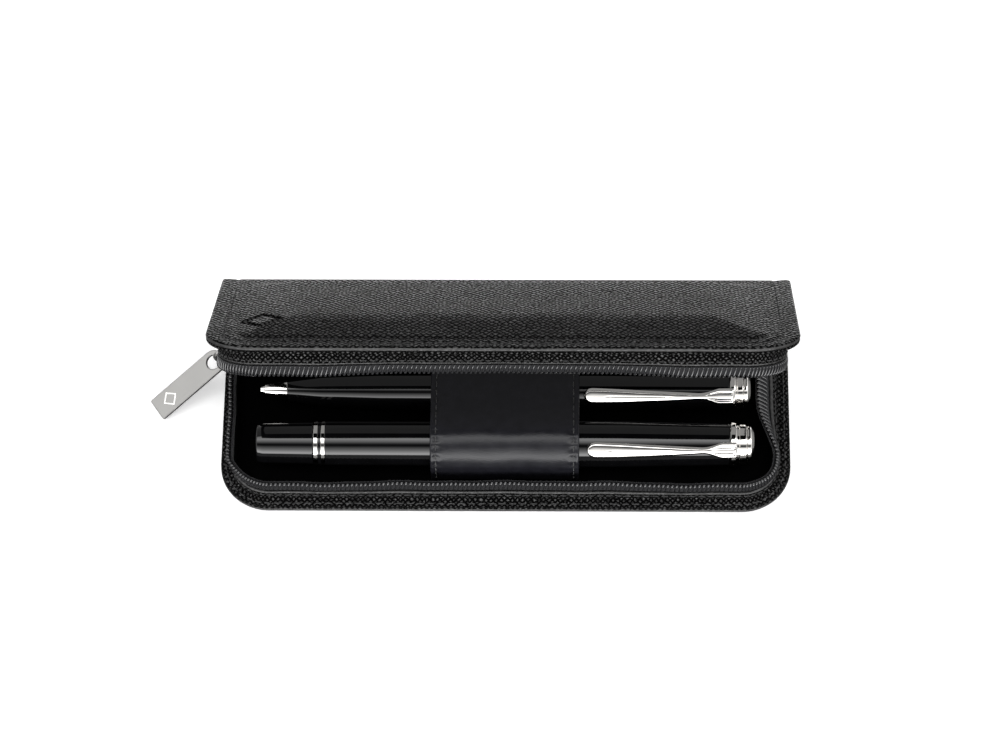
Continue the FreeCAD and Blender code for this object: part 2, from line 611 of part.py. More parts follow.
def ball_pen():
    ease = cell("running_gap")
    bore = cell("ball_bore")
    joint = cell("ball_joint")
    radius = cell("ball_radius")
    socket = cell("socket_radius")
    cone = turned("ball_pen_tip_cone", [
        (ZERO, cell("tip_hole")), (cell("tip_hole_end"), cell("tip_hole")),
        (cell("tip_hole_end"), cell("cone_bore")), (cell("cone_end"), cell("cone_bore")),
        (cell("cone_end"), cell("cone_radius")), (ZERO, cell("cone_tip_radius"))])
    lower = turned("ball_pen_lower_barrel", [
        (cell("cone_end"), bore), (cell("refill_bore_end"), bore), (cell("refill_bore_end"), socket + ease),
        (joint, socket + ease), (joint, radius), (cell("flare_end"), cell("flare_radius")),
        (cell("flare_middle"), cell("flare_middle_radius")), (cell("cone_end"), cell("cone_radius"))])
    ring = turned("ball_pen_centre_ring", tube(cell("ball_ring_start"), cell("ball_ring_end"), socket,
                                              cell("ball_ring_radius")))
    upper = turned("ball_pen_upper_barrel", [
        (cell("socket_start"), bore), (cell("ball_bore_end"), bore), (cell("ball_bore_end"), ZERO),
        (cell("ball_cap_end"), ZERO), (cell("ball_cap_end"), cell("ball_cap_radius")),
        (cell("ball_ring_end"), radius), (cell("ball_ring_end"), socket), (cell("socket_start"), socket)])
    crown = turned("ball_pen_crown_ring", [
        (cell("ball_cap_end"), ZERO), (cell("ball_crown_end"), ZERO),
        (cell("ball_crown_end"), cell("ball_crown_step_radius")),
        (cell("ball_cap_end"), cell("ball_crown_radius"))])
    finial_radius = cell("ball_finial_radius")
    finial = turned("ball_pen_finial", [
        (cell("ball_crown_end"), ZERO), (cell("ball_length"), ZERO),
        (cell("ball_length"), finial_radius), (cell("ball_crown_end"), finial_radius)])
    round_rims(finial, [(cell("ball_length"), finial_radius)], cell("ball_finial_round"))
    refill = turned("ball_pen_refill", [
        (cell("refill_tip"), ZERO), (cell("refill_end"), ZERO), (cell("refill_end"), cell("refill_radius")),
        (cell("refill_shoulder"), cell("refill_radius")),
        (cell("refill_shoulder"), cell("refill_nose_radius")),
        (cell("refill_tip"), cell("refill_nose_radius"))])
    leaf = clip("ball_pen_clip", cell("ball_clip_shift"), cell("ball_clip_low"), cell("ball_foot_low"),
                cell("ball_clip_tab_low"), cell("clip_turn"))
    spot = FreeCAD.Vector(cell("ball_start").value, cell("middle_loop").value,
                          cell("middle_loop_height").value)
    lay_pen([cone, lower, ring, upper, crown, finial, refill, leaf], spot)


def lay_pen(pieces, spot):
    """Lay a pen's pieces in their loop, rolled so that the clip leans to the front."""
    roll = FreeCAD.Rotation(FreeCAD.Vector(1, 0, 0), cell("clip_turn").value)
    for piece in pieces:
        piece.Placement = FreeCAD.Placement(spot, roll)


# ---------------------------------------------------------------- assembly and export

def lid_placement():
    """Turn a half built as the tray lies into the lid: upside down, then swung open."""
    hinge = FreeCAD.Vector(0, cell("case_depth").value / 2, cell("case_height").value)
    flip = FreeCAD.Placement(FreeCAD.Vector(0, 0, hinge.z), FreeCAD.Rotation(FreeCAD.Vector(0, 1, 0), 180))
    swing = FreeCAD.Rotation(FreeCAD.Vector(-1, 0, 0), cell("lid_opening").value)
    return FreeCAD.Placement(FreeCAD.Vector(0, 0, 0), swing, hinge) * flip


half_case("tray", [("board", "board"), ("lining", "lining")])
half_case("lid", [("padding", "padding"), ("board", "thin_board"), ("lining", "thin_lining")])
for piece in PIECES:
    if piece.Label.startswith("lid_"):
        piece.Placement = lid_placement()
spine()
pen_loops()
zip_slider()
puller()
fountain_pen()
ball_pen()
doc.recompute()

for thing in doc.Objects:
    if "Invalid" in thing.State or "Error" in thing.State:
        raise RuntimeError(f"{thing.Name} failed: {thing.State}")
for piece in PIECES:
    if piece.Shape.isNull() or not piece.Shape.isValid():
        raise RuntimeError(f"{piece.Label} has no valid shape")

os.makedirs("parts", exist_ok=True)
for piece in PIECES:
    piece.Shape.exportStep(f"parts/{piece.Label}.step")
print(f"{len(PIECES)} pieces")
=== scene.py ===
import bmesh
import bpy
import json
import math
from mathutils import Matrix, Vector, noise


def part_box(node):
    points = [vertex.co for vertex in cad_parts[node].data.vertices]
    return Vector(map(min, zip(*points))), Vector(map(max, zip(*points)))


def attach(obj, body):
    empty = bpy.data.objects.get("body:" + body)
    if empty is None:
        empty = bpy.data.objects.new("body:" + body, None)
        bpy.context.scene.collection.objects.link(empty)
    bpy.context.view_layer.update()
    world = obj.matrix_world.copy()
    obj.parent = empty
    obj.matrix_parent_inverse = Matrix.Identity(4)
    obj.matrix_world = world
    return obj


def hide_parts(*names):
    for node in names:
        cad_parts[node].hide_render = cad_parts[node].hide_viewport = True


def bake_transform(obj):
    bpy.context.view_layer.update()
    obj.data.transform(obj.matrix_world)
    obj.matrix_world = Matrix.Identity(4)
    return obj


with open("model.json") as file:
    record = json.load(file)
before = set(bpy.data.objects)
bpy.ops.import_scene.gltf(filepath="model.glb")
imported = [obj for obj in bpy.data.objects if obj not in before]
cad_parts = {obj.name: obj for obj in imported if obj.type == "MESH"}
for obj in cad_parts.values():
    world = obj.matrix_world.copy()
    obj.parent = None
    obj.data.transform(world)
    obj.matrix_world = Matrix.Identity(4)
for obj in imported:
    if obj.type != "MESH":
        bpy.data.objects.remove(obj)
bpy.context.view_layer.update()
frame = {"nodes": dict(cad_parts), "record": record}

# ---- sizes, in millimetres
MM = 0.001
PER_METRE = (1000, 1000, 1000)


def span(node):
    """A CAD node's lowest and highest corner, in millimetres."""
    low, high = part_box(node)
    return [c / MM for c in low], [c / MM for c in high]


COVER_LOW, COVER_HIGH = span("tray_cover")
SPINE_HIGH = span("spine_cover")[1]
HALF = COVER_HIGH[0]
FRONT = COVER_LOW[1]
BACK = SPINE_HIGH[1]
DEPTH = BACK - FRONT
HEIGHT = SPINE_HIGH[2]
SKIN = COVER_HIGH[2]
CORNER = 14.0
OPENING = math.radians(45)
WALL_END = 29.0
STITCH_INSET = 3.2
LID_STITCH_INSET = 4.6
CREASE_INSET = 8.4
CROWN = 1.7
GUSSET = 0.9
WALL_TOP = {"tray": 5.0, "lid": 6.3}
TAPE_INSET = 4.35
TAPE_TOP = 9.0
WALL_GRAIN = 1.3
COIL_INSET = 3.30
COIL_LEVEL = 8.15
COIL_PITCH = 1.27
BAND_HALF = span("pen_band")[1][0]
MID_SPINE = HEIGHT / 2


# ---- small maths helpers

def smooth(low, high, value):
    t = max(0.0, min(1.0, (value - low) / (high - low)))
    return t * t * (3 - 2 * t)


def bell(distance, width):
    return math.exp(-(distance / width) ** 2)


def steps(low, high, count):
    return [low + (high - low) * i / (count - 1) for i in range(count)]


def ring_points(x, y, radius, start=0.0, end=2 * math.pi, count=48):
    return [(x + radius * math.cos(a), y + radius * math.sin(a)) for a in steps(start, end, count + 1)[:-1]]


def lid_matrix():
    """From the frame in which both halves lie like the tray to the lid's place at rest, in mm."""
    flip = Matrix.Translation((0, 0, HEIGHT)) @ Matrix.Rotation(math.pi, 4, "Y")
    hinge = Matrix.Translation((0, BACK, HEIGHT))
    return hinge @ Matrix.Rotation(-OPENING, 4, "X") @ hinge.inverted() @ flip


PLACES = {"tray": Matrix.Identity(4), "lid": lid_matrix()}
RIGHT_SIGN = {"tray": 1, "lid": -1}


# ---- mesh helpers

def link_object(name, data):
    thing = bpy.data.objects.new(name, data)
    bpy.context.collection.objects.link(thing)
    return thing


def clean(mesh, weld=0.0, collapse=0.0):
    """Turn all faces outward, after welding close points and dropping collapsed edges if asked."""
    work = bmesh.new()
    work.from_mesh(mesh)
    if weld:
        bmesh.ops.remove_doubles(work, verts=work.verts, dist=weld)
    if collapse:
        bmesh.ops.dissolve_degenerate(work, edges=work.edges, dist=collapse)
    bmesh.ops.recalc_face_normals(work, faces=work.faces)
    work.to_mesh(mesh)
    work.free()


def shade_smooth(mesh):
    mesh.polygons.foreach_set("use_smooth", [True] * len(mesh.polygons))


def make(name, verts, faces, material, place=None, uvs=None):
    """A mesh object from millimetre vertices, optionally moved by a millimetre matrix."""
    mesh = bpy.data.meshes.new(name)
    if place is not None:
        verts = [place @ Vector(v) for v in verts]
    mesh.from_pydata([Vector(v) * MM for v in verts], [], faces)
    if uvs:
        layer = mesh.uv_layers.new(name="flat")
        for loop in mesh.loops:
            layer.data[loop.index].uv = uvs[loop.vertex_index]
    shade_smooth(mesh)
    mesh.validate()
    clean(mesh)
    mesh.materials.append(material)
    return link_object(name, mesh)


def join_parts(parts):
    """One vertex list and face list from many."""
    verts, faces = [], []
    for more_verts, more_faces in parts:
        base = len(verts)
        verts.extend(more_verts)
        faces.extend(tuple(i + base for i in face) for face in more_faces)
    return verts, faces


def loft(rings):
    """Faces between equal closed rings of points, with end caps."""
    size = len(rings[0])
    verts = [p for ring in rings for p in ring]
    faces = []
    for here in range(0, len(verts) - size, size):
        for j in range(size):
            k = (j + 1) % size
            faces.append((here + j, here + k, here + size + k, here + size + j))
    faces.append(tuple(range(size - 1, -1, -1)))
    faces.append(tuple(range(len(verts) - size, len(verts))))
    return verts, faces


def thicken(line, half, ends=5):
    """A closed loop round a 2-D line at a distance, with round ends."""
    tangents = []
    for i in range(len(line)):
        before = line[max(i - 1, 0)]
        after = line[min(i + 1, len(line) - 1)]
        run, rise = after[0] - before[0], after[1] - before[1]
        size = math.hypot(run, rise)
        tangents.append((run / size, rise / size))
    loop = [(x - ty * half, y + tx * half) for (x, y), (tx, ty) in zip(line, tangents)]
    for end, turn in ((-1, 1), (0, -1)):
        point, (tx, ty) = line[end], tangents[end]
        for step in range(1, ends + 1):
            angle = math.pi / 2 - math.pi * step / (ends + 1)
            along = turn * math.cos(angle) * half
            across = turn * math.sin(angle) * half
            loop.append((point[0] + tx * along - ty * across, point[1] + ty * along + tx * across))
        if end == -1:
            for point, (tx, ty) in zip(reversed(line), reversed(tangents)):
                loop.append((point[0] + ty * half, point[1] - tx * half))
    return loop


# ---- the outline walked round three sides

SIDE = WALL_END - (FRONT + CORNER)
ARC = CORNER * math.pi / 2
FACE = 2 * (HALF - CORNER)
AROUND = 2 * SIDE + 2 * ARC + FACE


def outline(distance):
    """The point and outward normal at a distance round the outline, from the rear left corner."""
    bend = FRONT + CORNER
    if distance <= SIDE:
        return (-HALF, WALL_END - distance), (-1.0, 0.0)
    distance -= SIDE
    if distance <= ARC:
        angle = math.pi + distance / CORNER
        normal = (math.cos(angle), math.sin(angle))
        return (-HALF + CORNER + CORNER * normal[0], bend + CORNER * normal[1]), normal
    distance -= ARC
    if distance <= FACE:
        return (-HALF + CORNER + distance, FRONT), (0.0, -1.0)
    distance -= FACE
    if distance <= ARC:
        angle = 1.5 * math.pi + distance / CORNER
        normal = (math.cos(angle), math.sin(angle))
        return (HALF - CORNER + CORNER * normal[0], bend + CORNER * normal[1]), normal
    distance -= ARC
    return (HALF, bend + distance), (1.0, 0.0)


LEAN_RIGHT = 5.9
LEAN_LEFT = {"tray": -0.9, "lid": 0.0}
LEAN_FRONT = {"tray": 1.3, "lid": 2.4}
LEAN_ALL = 0.7
STIFF_BELOW = 2.4
SOFT_HEIGHT = 7.0
FACES_SIDE = 0.7
WAVE = 0.16


def slump(half_case, distance, inset, level):
    """How the soft wall leans: well in on the right, a little in front, out on the left."""
    (x, y), normal = outline(distance)
    rise = max(0.0, level - STIFF_BELOW) / SOFT_HEIGHT
    rightward = normal[0] * RIGHT_SIGN[half_case]
    lean = 0.0
    if rightward > FACES_SIDE:
        lean = LEAN_RIGHT * smooth(-22, 2, y) * (1 - smooth(12, WALL_END - 1, y))
    if normal[1] < -FACES_SIDE:
        lean = LEAN_FRONT[half_case] * (1 - smooth(20, 66, abs(x)))
    lean = max(lean, LEAN_ALL * smooth(WALL_END, WALL_END - 12, y))
    if rightward < -FACES_SIDE:
        lean += (LEAN_LEFT[half_case] - lean) * smooth(-27, -18, y) * (1 - smooth(20, 28, y))
    wave = WAVE * math.sin(distance * 0.19 + 1.0) + WAVE * 0.6 * math.sin(distance * 0.43)
    wave *= smooth(WALL_END, WALL_END - 8, y)
    shift = lean * rise ** 1.2 + wave * min(rise, 1.0)
    drop = 0.24 * abs(lean) * rise ** 2
    return inset + shift, level - drop


def on_wall(half_case, distance, inset, level):
    (x, y), normal = outline(distance)
    inset, level = slump(half_case, distance, inset, level)
    return Vector((x - normal[0] * inset, y - normal[1] * inset, level))


def wall_stations(spacing):
    return steps(0.0, AROUND, round(AROUND / spacing) + 1)


def wall_strip(half_case, profile, spacing):
    """A profile of (inset, level) points carried round three sides of one half."""
    return loft([[on_wall(half_case, d, *point) for point in profile] for d in wall_stations(spacing)])


def wall_uvs(profile, spacing):
    """Flat coordinates for a wall strip: distance round the outline, distance round the profile."""
    travelled = [0.0]
    for before, after in zip(profile, profile[1:]):
        travelled.append(travelled[-1] + math.dist(before, after))
    return [(d * WALL_GRAIN, t * WALL_GRAIN) for d in wall_stations(spacing) for t in travelled]


# ---- sheets that follow a section line

def edge_distance(x, ahead, half, corner):
    """Distance inward from the outline of a sheet with two rounded corners."""
    over = abs(x) - (half - corner)
    if over > 0 and ahead < corner:
        return corner - math.hypot(over, corner - ahead)
    return min(half - abs(x), ahead)


FINE_ROWS = [0.0, 0.03, 0.1, 0.22, 0.4, 0.65, 1.0, 1.5]
SHEET_WELD = 2e-7
SHEET_COLLAPSE = 1e-8


def graded(length, step):
    """Distances from a free edge: fine at first, then even."""
    rest = length - FINE_ROWS[-1]
    count = max(1, round(rest / step))
    return FINE_ROWS + [FINE_ROWS[-1] + rest * i / count for i in range(1, count + 1)]


def sheet(name, line, half, corner, thick, material, relief, step):
    """A sheet of even thickness along a section line.

    line gives (distance from the free edge, y, z, inward y, inward z) for each row. The
    outline has rounded corners at the free edge, and all its edges are rounded.
    relief(x, distance, inward) moves the outer face outwards; it may be None.
    """
    edge = thick / 2
    fractions = [1 - across / half for across in graded(half, step)]
    fractions = [-f for f in fractions] + fractions[::-1][1:]
    verts = []
    uvs = []
    for outer in (True, False):
        for ahead, y, z, in_y, in_z in line:
            reach = half
            if ahead < corner:
                reach = half - corner + math.sqrt(max(0.0, corner ** 2 - (corner - ahead) ** 2))
            for f in fractions:
                x = f * reach
                inward = max(0.0, edge_distance(x, ahead, half, corner))
                roll = edge - math.sqrt(max(0.0, edge ** 2 - (edge - min(inward, edge)) ** 2))
                depth = roll if outer else thick - roll
                if outer and relief:
                    depth -= relief(x, ahead, inward)
                verts.append((x, y + in_y * depth, z + in_z * depth))
                uvs.append((x, ahead))
    size = len(fractions)
    count = len(line)
    under = count * size
    faces = []
    for base in (0, under):
        for i in range(count - 1):
            for j in range(size - 1):
                a = base + i * size + j
                quad = (a, a + 1, a + size + 1, a + size)
                faces.append(quad[::-1] if base else quad)
    for i in range(count - 1):
        for j in (0, size - 1):
            a = i * size + j
            faces.append((a, a + size, a + size + under, a + under))
    for i in (0, count - 1):
        for j in range(size - 1):
            a = i * size + j
            faces.append((a, a + 1, a + 1 + under, a + under))
    thing = make(name, verts, faces, material, uvs=uvs)
    clean(thing.data, SHEET_WELD, SHEET_COLLAPSE)
    shade_smooth(thing.data)
    return thing


def fold_line(side, offset, free, bend, step, spine_reach):
    """The section line of one half: from its free edge, round its fold and to mid-spine.

    offset is how far inside the case's outer face the line runs, free how far the free edge
    is set back, bend the radius of the fold and spine_reach the spine face's place.
    """
    swing = 0.0 if side == "tray" else OPENING
    turn = math.pi / 2 - swing
    along = Vector((-math.cos(swing), math.sin(swing)))
    inward = Vector((-math.sin(swing), -math.cos(swing)))
    up = Vector((0, -1))
    level = HEIGHT
    if side == "tray":
        along, inward, up, level = Vector((-1, 0)), Vector((0, 1)), Vector((0, 1)), 0.0
    # where the flat line meets the spine line
    start = Vector((BACK, level)) + inward * offset
    reach = (start.x - spine_reach) / max(1e-9, -along.x)
    meet = start + along * reach
    cut = bend * math.tan(turn / 2)
    flat_end = DEPTH - reach - cut
    line = []
    for ahead in graded(flat_end - free, step):
        place = meet + along * (DEPTH - reach - free - ahead)
        line.append((ahead, place.x, place.y, inward.x, inward.y))
    centre = meet + along * cut + inward * bend
    ahead = flat_end - free
    count = max(4, round(bend * turn / (step * 0.5)))
    spine_in = Vector((-1, 0))
    for i in range(1, count + 1):
        share = i / count
        angle = turn * share
        normal = Vector((inward.x * math.cos(angle) + along.x * math.sin(angle),
                         inward.y * math.cos(angle) + along.y * math.sin(angle)))
        place = centre - normal * bend
        line.append((ahead + bend * angle, place.x, place.y, normal.x, normal.y))
    ahead += bend * turn
    here = Vector((line[-1][1], line[-1][2]))
    length = abs(MID_SPINE - here.y)
    count = max(2, round(length / step))
    for i in range(1, count + 1):
        place = here + up * (length * i / count)
        line.append((ahead + length * i / count, place.x, place.y, spine_in.x, spine_in.y))
    return line


# ---- materials

class Nodes:
    """A short way to write the node tree of a material or of the world."""

    def __init__(self, name, kind="materials", shader="Principled BSDF"):
        self.owner = getattr(bpy.data, kind).new(name)
        self.owner.use_nodes = True
        self.tree = self.owner.node_tree
        self.shader = self.tree.nodes[shader]
        self.coords = self.add("ShaderNodeTexCoord")

    def add(self, kind, **settings):
        node = self.tree.nodes.new(kind)
        for key, value in settings.items():
            setattr(node, key, value)
        return node

    def link(self, source, target):
        self.tree.links.new(source, target)

    def fill(self, **inputs):
        for key, value in inputs.items():
            self.shader.inputs[key.replace("_", " ")].default_value = value

    def mapped(self, space="Object", scale=PER_METRE, turn=(0, 0, 0)):
        mapping = self.add("ShaderNodeMapping")
        mapping.inputs["Scale"].default_value = scale
        mapping.inputs["Rotation"].default_value = turn
        self.link(self.coords.outputs[space], mapping.inputs["Vector"])
        return mapping.outputs["Vector"]

    def texture(self, kind, vector, output="Fac", **inputs):
        node = self.add(kind)
        self.link(vector, node.inputs["Vector"])
        for key, value in inputs.items():
            node.inputs[key].default_value = value
        return node.outputs[output]

    def noise(self, vector, scale, detail=3.0):
        return self.texture("ShaderNodeTexNoise", vector, Scale=scale, Detail=detail)

    def ramp(self, source, stops, interpolation="LINEAR"):
        node = self.add("ShaderNodeValToRGB")
        node.color_ramp.interpolation = interpolation
        while len(node.color_ramp.elements) < len(stops):
            node.color_ramp.elements.new(0.5)
        for element, (place, colour) in zip(node.color_ramp.elements, stops):
            element.position = place
            element.color = (*colour, 1)
        self.link(source, node.inputs["Fac"])
        return node.outputs["Color"]

    def colour(self, source, *stops):
        self.link(self.ramp(source, stops), self.shader.inputs["Base Color"])

    def rough(self, source, low, high):
        node = self.add("ShaderNodeMapRange")
        node.inputs["To Min"].default_value = low
        node.inputs["To Max"].default_value = high
        self.link(source, node.inputs["Value"])
        self.link(node.outputs["Result"], self.shader.inputs["Roughness"])

    def mix(self, operation, first, second):
        node = self.add("ShaderNodeMath", operation=operation)
        for socket, value in ((0, first), (1, second)):
            if isinstance(value, (int, float)):
                node.inputs[socket].default_value = value
            else:
                self.link(value, node.inputs[socket])
        return node.outputs["Value"]

    def bump(self, height, distance, strength=1.0):
        node = self.add("ShaderNodeBump")
        node.inputs["Distance"].default_value = distance
        node.inputs["Strength"].default_value = strength
        self.link(height, node.inputs["Height"])
        if self.shader.inputs["Normal"].links:
            self.link(self.shader.inputs["Normal"].links[0].from_socket, node.inputs["Normal"])
        self.link(node.outputs["Normal"], self.shader.inputs["Normal"])


def grained_leather(name, scale):
    """Black leather with a raised pebble grain in slanting rows, about 1.4 mm from pebble to pebble, with
    painted shade in the hollows between the pebbles.
    """
    m = Nodes(name)
    base = m.mapped("UV", (scale, scale, scale), (0, 0, math.radians(45)))
    warp = m.add("ShaderNodeVectorMath", operation="MULTIPLY_ADD")
    m.link(m.texture("ShaderNodeTexNoise", base, "Color", Scale=0.3), warp.inputs[0])
    warp.inputs[1].default_value = (1.2, 1.2, 0.0)
    m.link(base, warp.inputs[2])
    cells = m.add("ShaderNodeTexVoronoi", feature="DISTANCE_TO_EDGE")
    cells.inputs["Scale"].default_value = 1.0
    cells.inputs["Randomness"].default_value = 0.36
    m.link(warp.outputs["Vector"], cells.inputs["Vector"])
    domed = m.add("ShaderNodeMapRange", interpolation_type="SMOOTHSTEP")
    domed.inputs["From Max"].default_value = 0.46
    m.link(cells.outputs["Distance"], domed.inputs["Value"])
    pebble = domed.outputs["Result"]
    fine = m.noise(base, 6.0, 4.0)
    tint = m.noise(base, 0.12, 2.0)
    mixed = m.add("ShaderNodeMix", data_type="RGBA", blend_type="MULTIPLY")
    mixed.inputs["Factor"].default_value = 1.0
    # painted shade: the hollows between the pebbles are painted nearly black against lighter pebble tops
    leather = m.ramp(pebble, [(0.0, (0.0008, 0.0008, 0.0008)), (1.0, (0.011, 0.0108, 0.0108))])
    m.link(leather, mixed.inputs["A"])
    m.link(m.ramp(tint, [(0.3, (0.82, 0.82, 0.84)), (0.7, (1.0, 0.99, 0.97))]), mixed.inputs["B"])
    m.link(mixed.outputs["Result"], m.shader.inputs["Base Color"])
    m.rough(m.mix("ADD", m.mix("MULTIPLY", fine, 0.5), m.mix("MULTIPLY", tint, 0.5)), 0.30, 0.44)
    # painted shade: the same mask cuts the specular level in the hollows between the pebbles
    m.link(m.mix("POWER", pebble, 1.7), m.shader.inputs["Specular IOR Level"])
    m.bump(m.mix("ADD", pebble, m.mix("MULTIPLY", fine, 0.12)), 0.00036)
    return m.owner


def smooth_leather(name):
    """Fine nappa leather: nearly smooth, with small creases."""
    m = Nodes(name)
    base = m.mapped("UV", (1, 1, 1))
    pores = m.texture("ShaderNodeTexVoronoi", base, "Distance", Scale=2.6)
    creases = m.noise(base, 0.35, 5.0)
    m.colour(creases, (0.3, (0.0065, 0.0065, 0.0088)), (0.7, (0.0105, 0.0105, 0.0138)))
    m.rough(creases, 0.25, 0.34)
    m.fill(Specular_IOR_Level=0.36)
    m.bump(m.mix("ADD", m.mix("MULTIPLY", pores, 0.35), creases), 0.00010, 0.55)
    return m.owner


def highlit_turned_leather(name):
    """The same leather where it is turned over an edge and its grain is stretched flat. Its base colour is
    painted lighter than the flat leather, as a painted highlight along the rolled edges.
    """
    m = Nodes(name)
    grain = m.texture("ShaderNodeTexVoronoi", m.mapped(), "Distance", Scale=0.95)
    # painted highlight: a lighter leather colour for the rolled edges
    m.colour(grain, (0.1, (0.030, 0.0295, 0.029)), (0.7, (0.010, 0.010, 0.010)))
    m.rough(grain, 0.28, 0.44)
    m.fill(Specular_IOR_Level=0.65)
    m.bump(grain, 0.00022, 0.6)
    return m.owner


def napped_lining(name):
    """Black suede-like cloth that hardly reflects."""
    m = Nodes(name)
    base = m.mapped()
    patches = m.noise(base, 0.06)
    m.colour(patches, (0.35, (0.0004, 0.0004, 0.00045)), (0.7, (0.0009, 0.0009, 0.001)))
    m.fill(Roughness=0.95, Specular_IOR_Level=0.02)
    m.bump(m.noise(base, 2.5, 5.0), 0.00012, 0.5)
    return m.owner


def woven_tape(name):
    """Tightly woven zip tape."""
    m = Nodes(name)
    turns = [m.mapped(turn=(0.6, 0.5, slant)) for slant in (0.785, -0.785)]
    waves = [m.texture("ShaderNodeTexWave", turn, Scale=0.85, Distortion=0.6) for turn in turns]
    weave = m.mix("MAXIMUM", *waves)
    m.colour(weave, (0.2, (0.003, 0.003, 0.0035)), (0.9, (0.013, 0.013, 0.015)))
    m.fill(Roughness=0.8, Specular_IOR_Level=0.3, Sheen_Weight=0.1)
    m.bump(weave, 0.00012, 0.7)
    return m.owner


def coil_nylon(name):
    m = Nodes(name)
    wear = m.noise(m.mapped(), 1.2)
    m.colour(wear, (0.3, (0.004, 0.004, 0.005)), (0.8, (0.012, 0.012, 0.014)))
    m.rough(wear, 0.16, 0.26)
    m.fill(Specular_IOR_Level=1.0)
    m.bump(wear, 0.00003, 0.4)
    return m.owner


def sewing_thread(name):
    m = Nodes(name)
    twist = m.texture("ShaderNodeTexWave", m.mapped(turn=(0.7, 0.4, 0.9)), Scale=1.6, Distortion=0.3)
    m.colour(twist, (0.2, (0.006, 0.006, 0.006)), (0.9, (0.035, 0.035, 0.036)))
    m.fill(Roughness=0.6, Sheen_Weight=0.2)
    m.bump(twist, 0.00008, 0.7)
    return m.owner


def polished_metal(name, colour, low, high):
    m = Nodes(name)
    base = m.mapped()
    haze = m.noise(base, 0.25, 4.0)
    m.colour(haze, (0.3, tuple(c * 0.96 for c in colour)), (0.7, colour))
    m.rough(haze, low, high)
    m.fill(Metallic=1.0)
    m.bump(m.noise(base, 3.0, 2.0), 0.000004, 0.3)
    return m.owner


def polished_resin(name):
    m = Nodes(name)
    haze = m.noise(m.mapped(), 0.3)
    m.colour(haze, (0.3, (0.0018, 0.0018, 0.002)), (0.7, (0.0026, 0.0026, 0.003)))
    m.rough(haze, 0.02, 0.05)
    m.fill(Specular_IOR_Level=0.5, Coat_Weight=0.12, Coat_Roughness=0.02)
    return m.owner


def plain_fibre(name, dark, light, grain):
    """Board and foam, which only show when the case is taken apart."""
    m = Nodes(name)
    fleck = m.noise(m.mapped(), grain, 6.0)
    m.colour(fleck, (0.3, dark), (0.7, light))
    m.fill(Roughness=0.9)
    m.bump(fleck, 0.00008, 0.5)
    return m.owner


def floor_paper(name):
    """White paper to the camera, but greyer as a source of light on the object."""
    m = Nodes(name)
    speckle = m.noise(m.mapped(scale=(1, 1, 1)), 400.0)
    m.colour(speckle, (0.3, (0.92, 0.92, 0.92)), (0.7, (0.94, 0.94, 0.94)))
    m.fill(Roughness=0.7, Specular_IOR_Level=0.1, Emission_Color=(1, 1, 1, 1), Emission_Strength=0.3)
    dull = m.add("ShaderNodeBsdfDiffuse")
    dull.inputs["Color"].default_value = (0.2, 0.2, 0.2, 1)
    path = m.add("ShaderNodeLightPath")
    either = m.add("ShaderNodeMixShader")
    m.link(path.outputs["Is Camera Ray"], either.inputs["Fac"])
    m.link(dull.outputs["BSDF"], either.inputs[1])
    m.link(m.shader.outputs["BSDF"], either.inputs[2])
    m.link(either.outputs["Shader"], m.tree.nodes["Material Output"].inputs["Surface"])
    return m.owner


PEBBLES = 0.72
LEATHER = grained_leather("grained_leather", PEBBLES)
LIT_EDGE_LEATHER = highlit_turned_leather("highlit_turned_leather")
NAPPA = smooth_leather("smooth_leather")
LINING = napped_lining("lining")
TAPE = woven_tape("tape")
COIL = coil_nylon("coil")
THREAD = sewing_thread("thread")
CHROME = polished_metal("trim", (0.90, 0.88, 0.85), 0.05, 0.10)
PULL_METAL = polished_metal("satin_trim", (0.26, 0.257, 0.25), 0.26, 0.38)
SLIDER_METAL = polished_metal("slider_metal", (0.62, 0.61, 0.60), 0.16, 0.28)
NIB_METAL = polished_metal("nib_metal", (0.85, 0.70, 0.42), 0.12, 0.20)
REFILL_METAL = polished_metal("refill_metal", (0.6, 0.6, 0.6), 0.25, 0.35)
RESIN = polished_resin("resin")
BOARD = plain_fibre("board", (0.02, 0.018, 0.016), (0.05, 0.045, 0.04), 1.5)
FOAM = plain_fibre("padding", (0.03, 0.03, 0.03), (0.07, 0.07, 0.07), 2.5)

SLOT_MATERIALS = {
    "grained_leather": LIT_EDGE_LEATHER, "smooth_leather": NAPPA, "lining": LINING, "board": BOARD,
    "padding": FOAM, "tape": TAPE, "coil": COIL, "thread": THREAD, "slider_metal": SLIDER_METAL,
    "trim": CHROME, "resin": RESIN, "nib_metal": NIB_METAL, "refill_metal": REFILL_METAL,
}


def dress_cad_nodes():
    """Every carried-over node gets its slot's finish."""
    for part in frame["record"]["subparts"]:
        thing = frame["nodes"][part["node"]]
        finish = SLOT_MATERIALS[part["material_slot"]]
        for place in thing.material_slots:
            place.link = "OBJECT"
            place.material = finish


# ---- covers and linings

def case_relief(side):
    """The cover's low shapes: a sewn groove near the edge, a padded crown and soft waves."""
    def relief(x, ahead, inward):
        if side == "tray":
            return -0.26 * bell(inward - STITCH_INSET, 0.55)
        waves = 0.10 * noise.noise(Vector((x * 0.06, ahead * 0.09, 3.0)))
        on_panel = 1 - smooth(DEPTH - 9, DEPTH - 4, ahead)
        lift = CROWN * smooth(CREASE_INSET - 3, 26, inward) * on_panel + waves * on_panel
        lift -= 0.24 * bell(inward - CREASE_INSET, 0.8) * on_panel
        lift -= 0.22 * bell(inward - LID_STITCH_INSET, 0.5)
        return lift - deboss(x, ahead) + 0.14 * bell(inward - 1.5, 1.0)
    return relief


MARK_X = -66.3
MARK_AHEAD = 21.5
MARK_HALF = 5.2


def deboss(x, ahead):
    """A plain lozenge pressed blind into the lid near its left end."""
    if abs(x - MARK_X) > 8 or abs(ahead - MARK_AHEAD) > 8:
        return 0.0
    from_centre = abs(x - MARK_X) + abs(ahead - MARK_AHEAD)
    return 0.7 * bell(from_centre - MARK_HALF, 0.8)


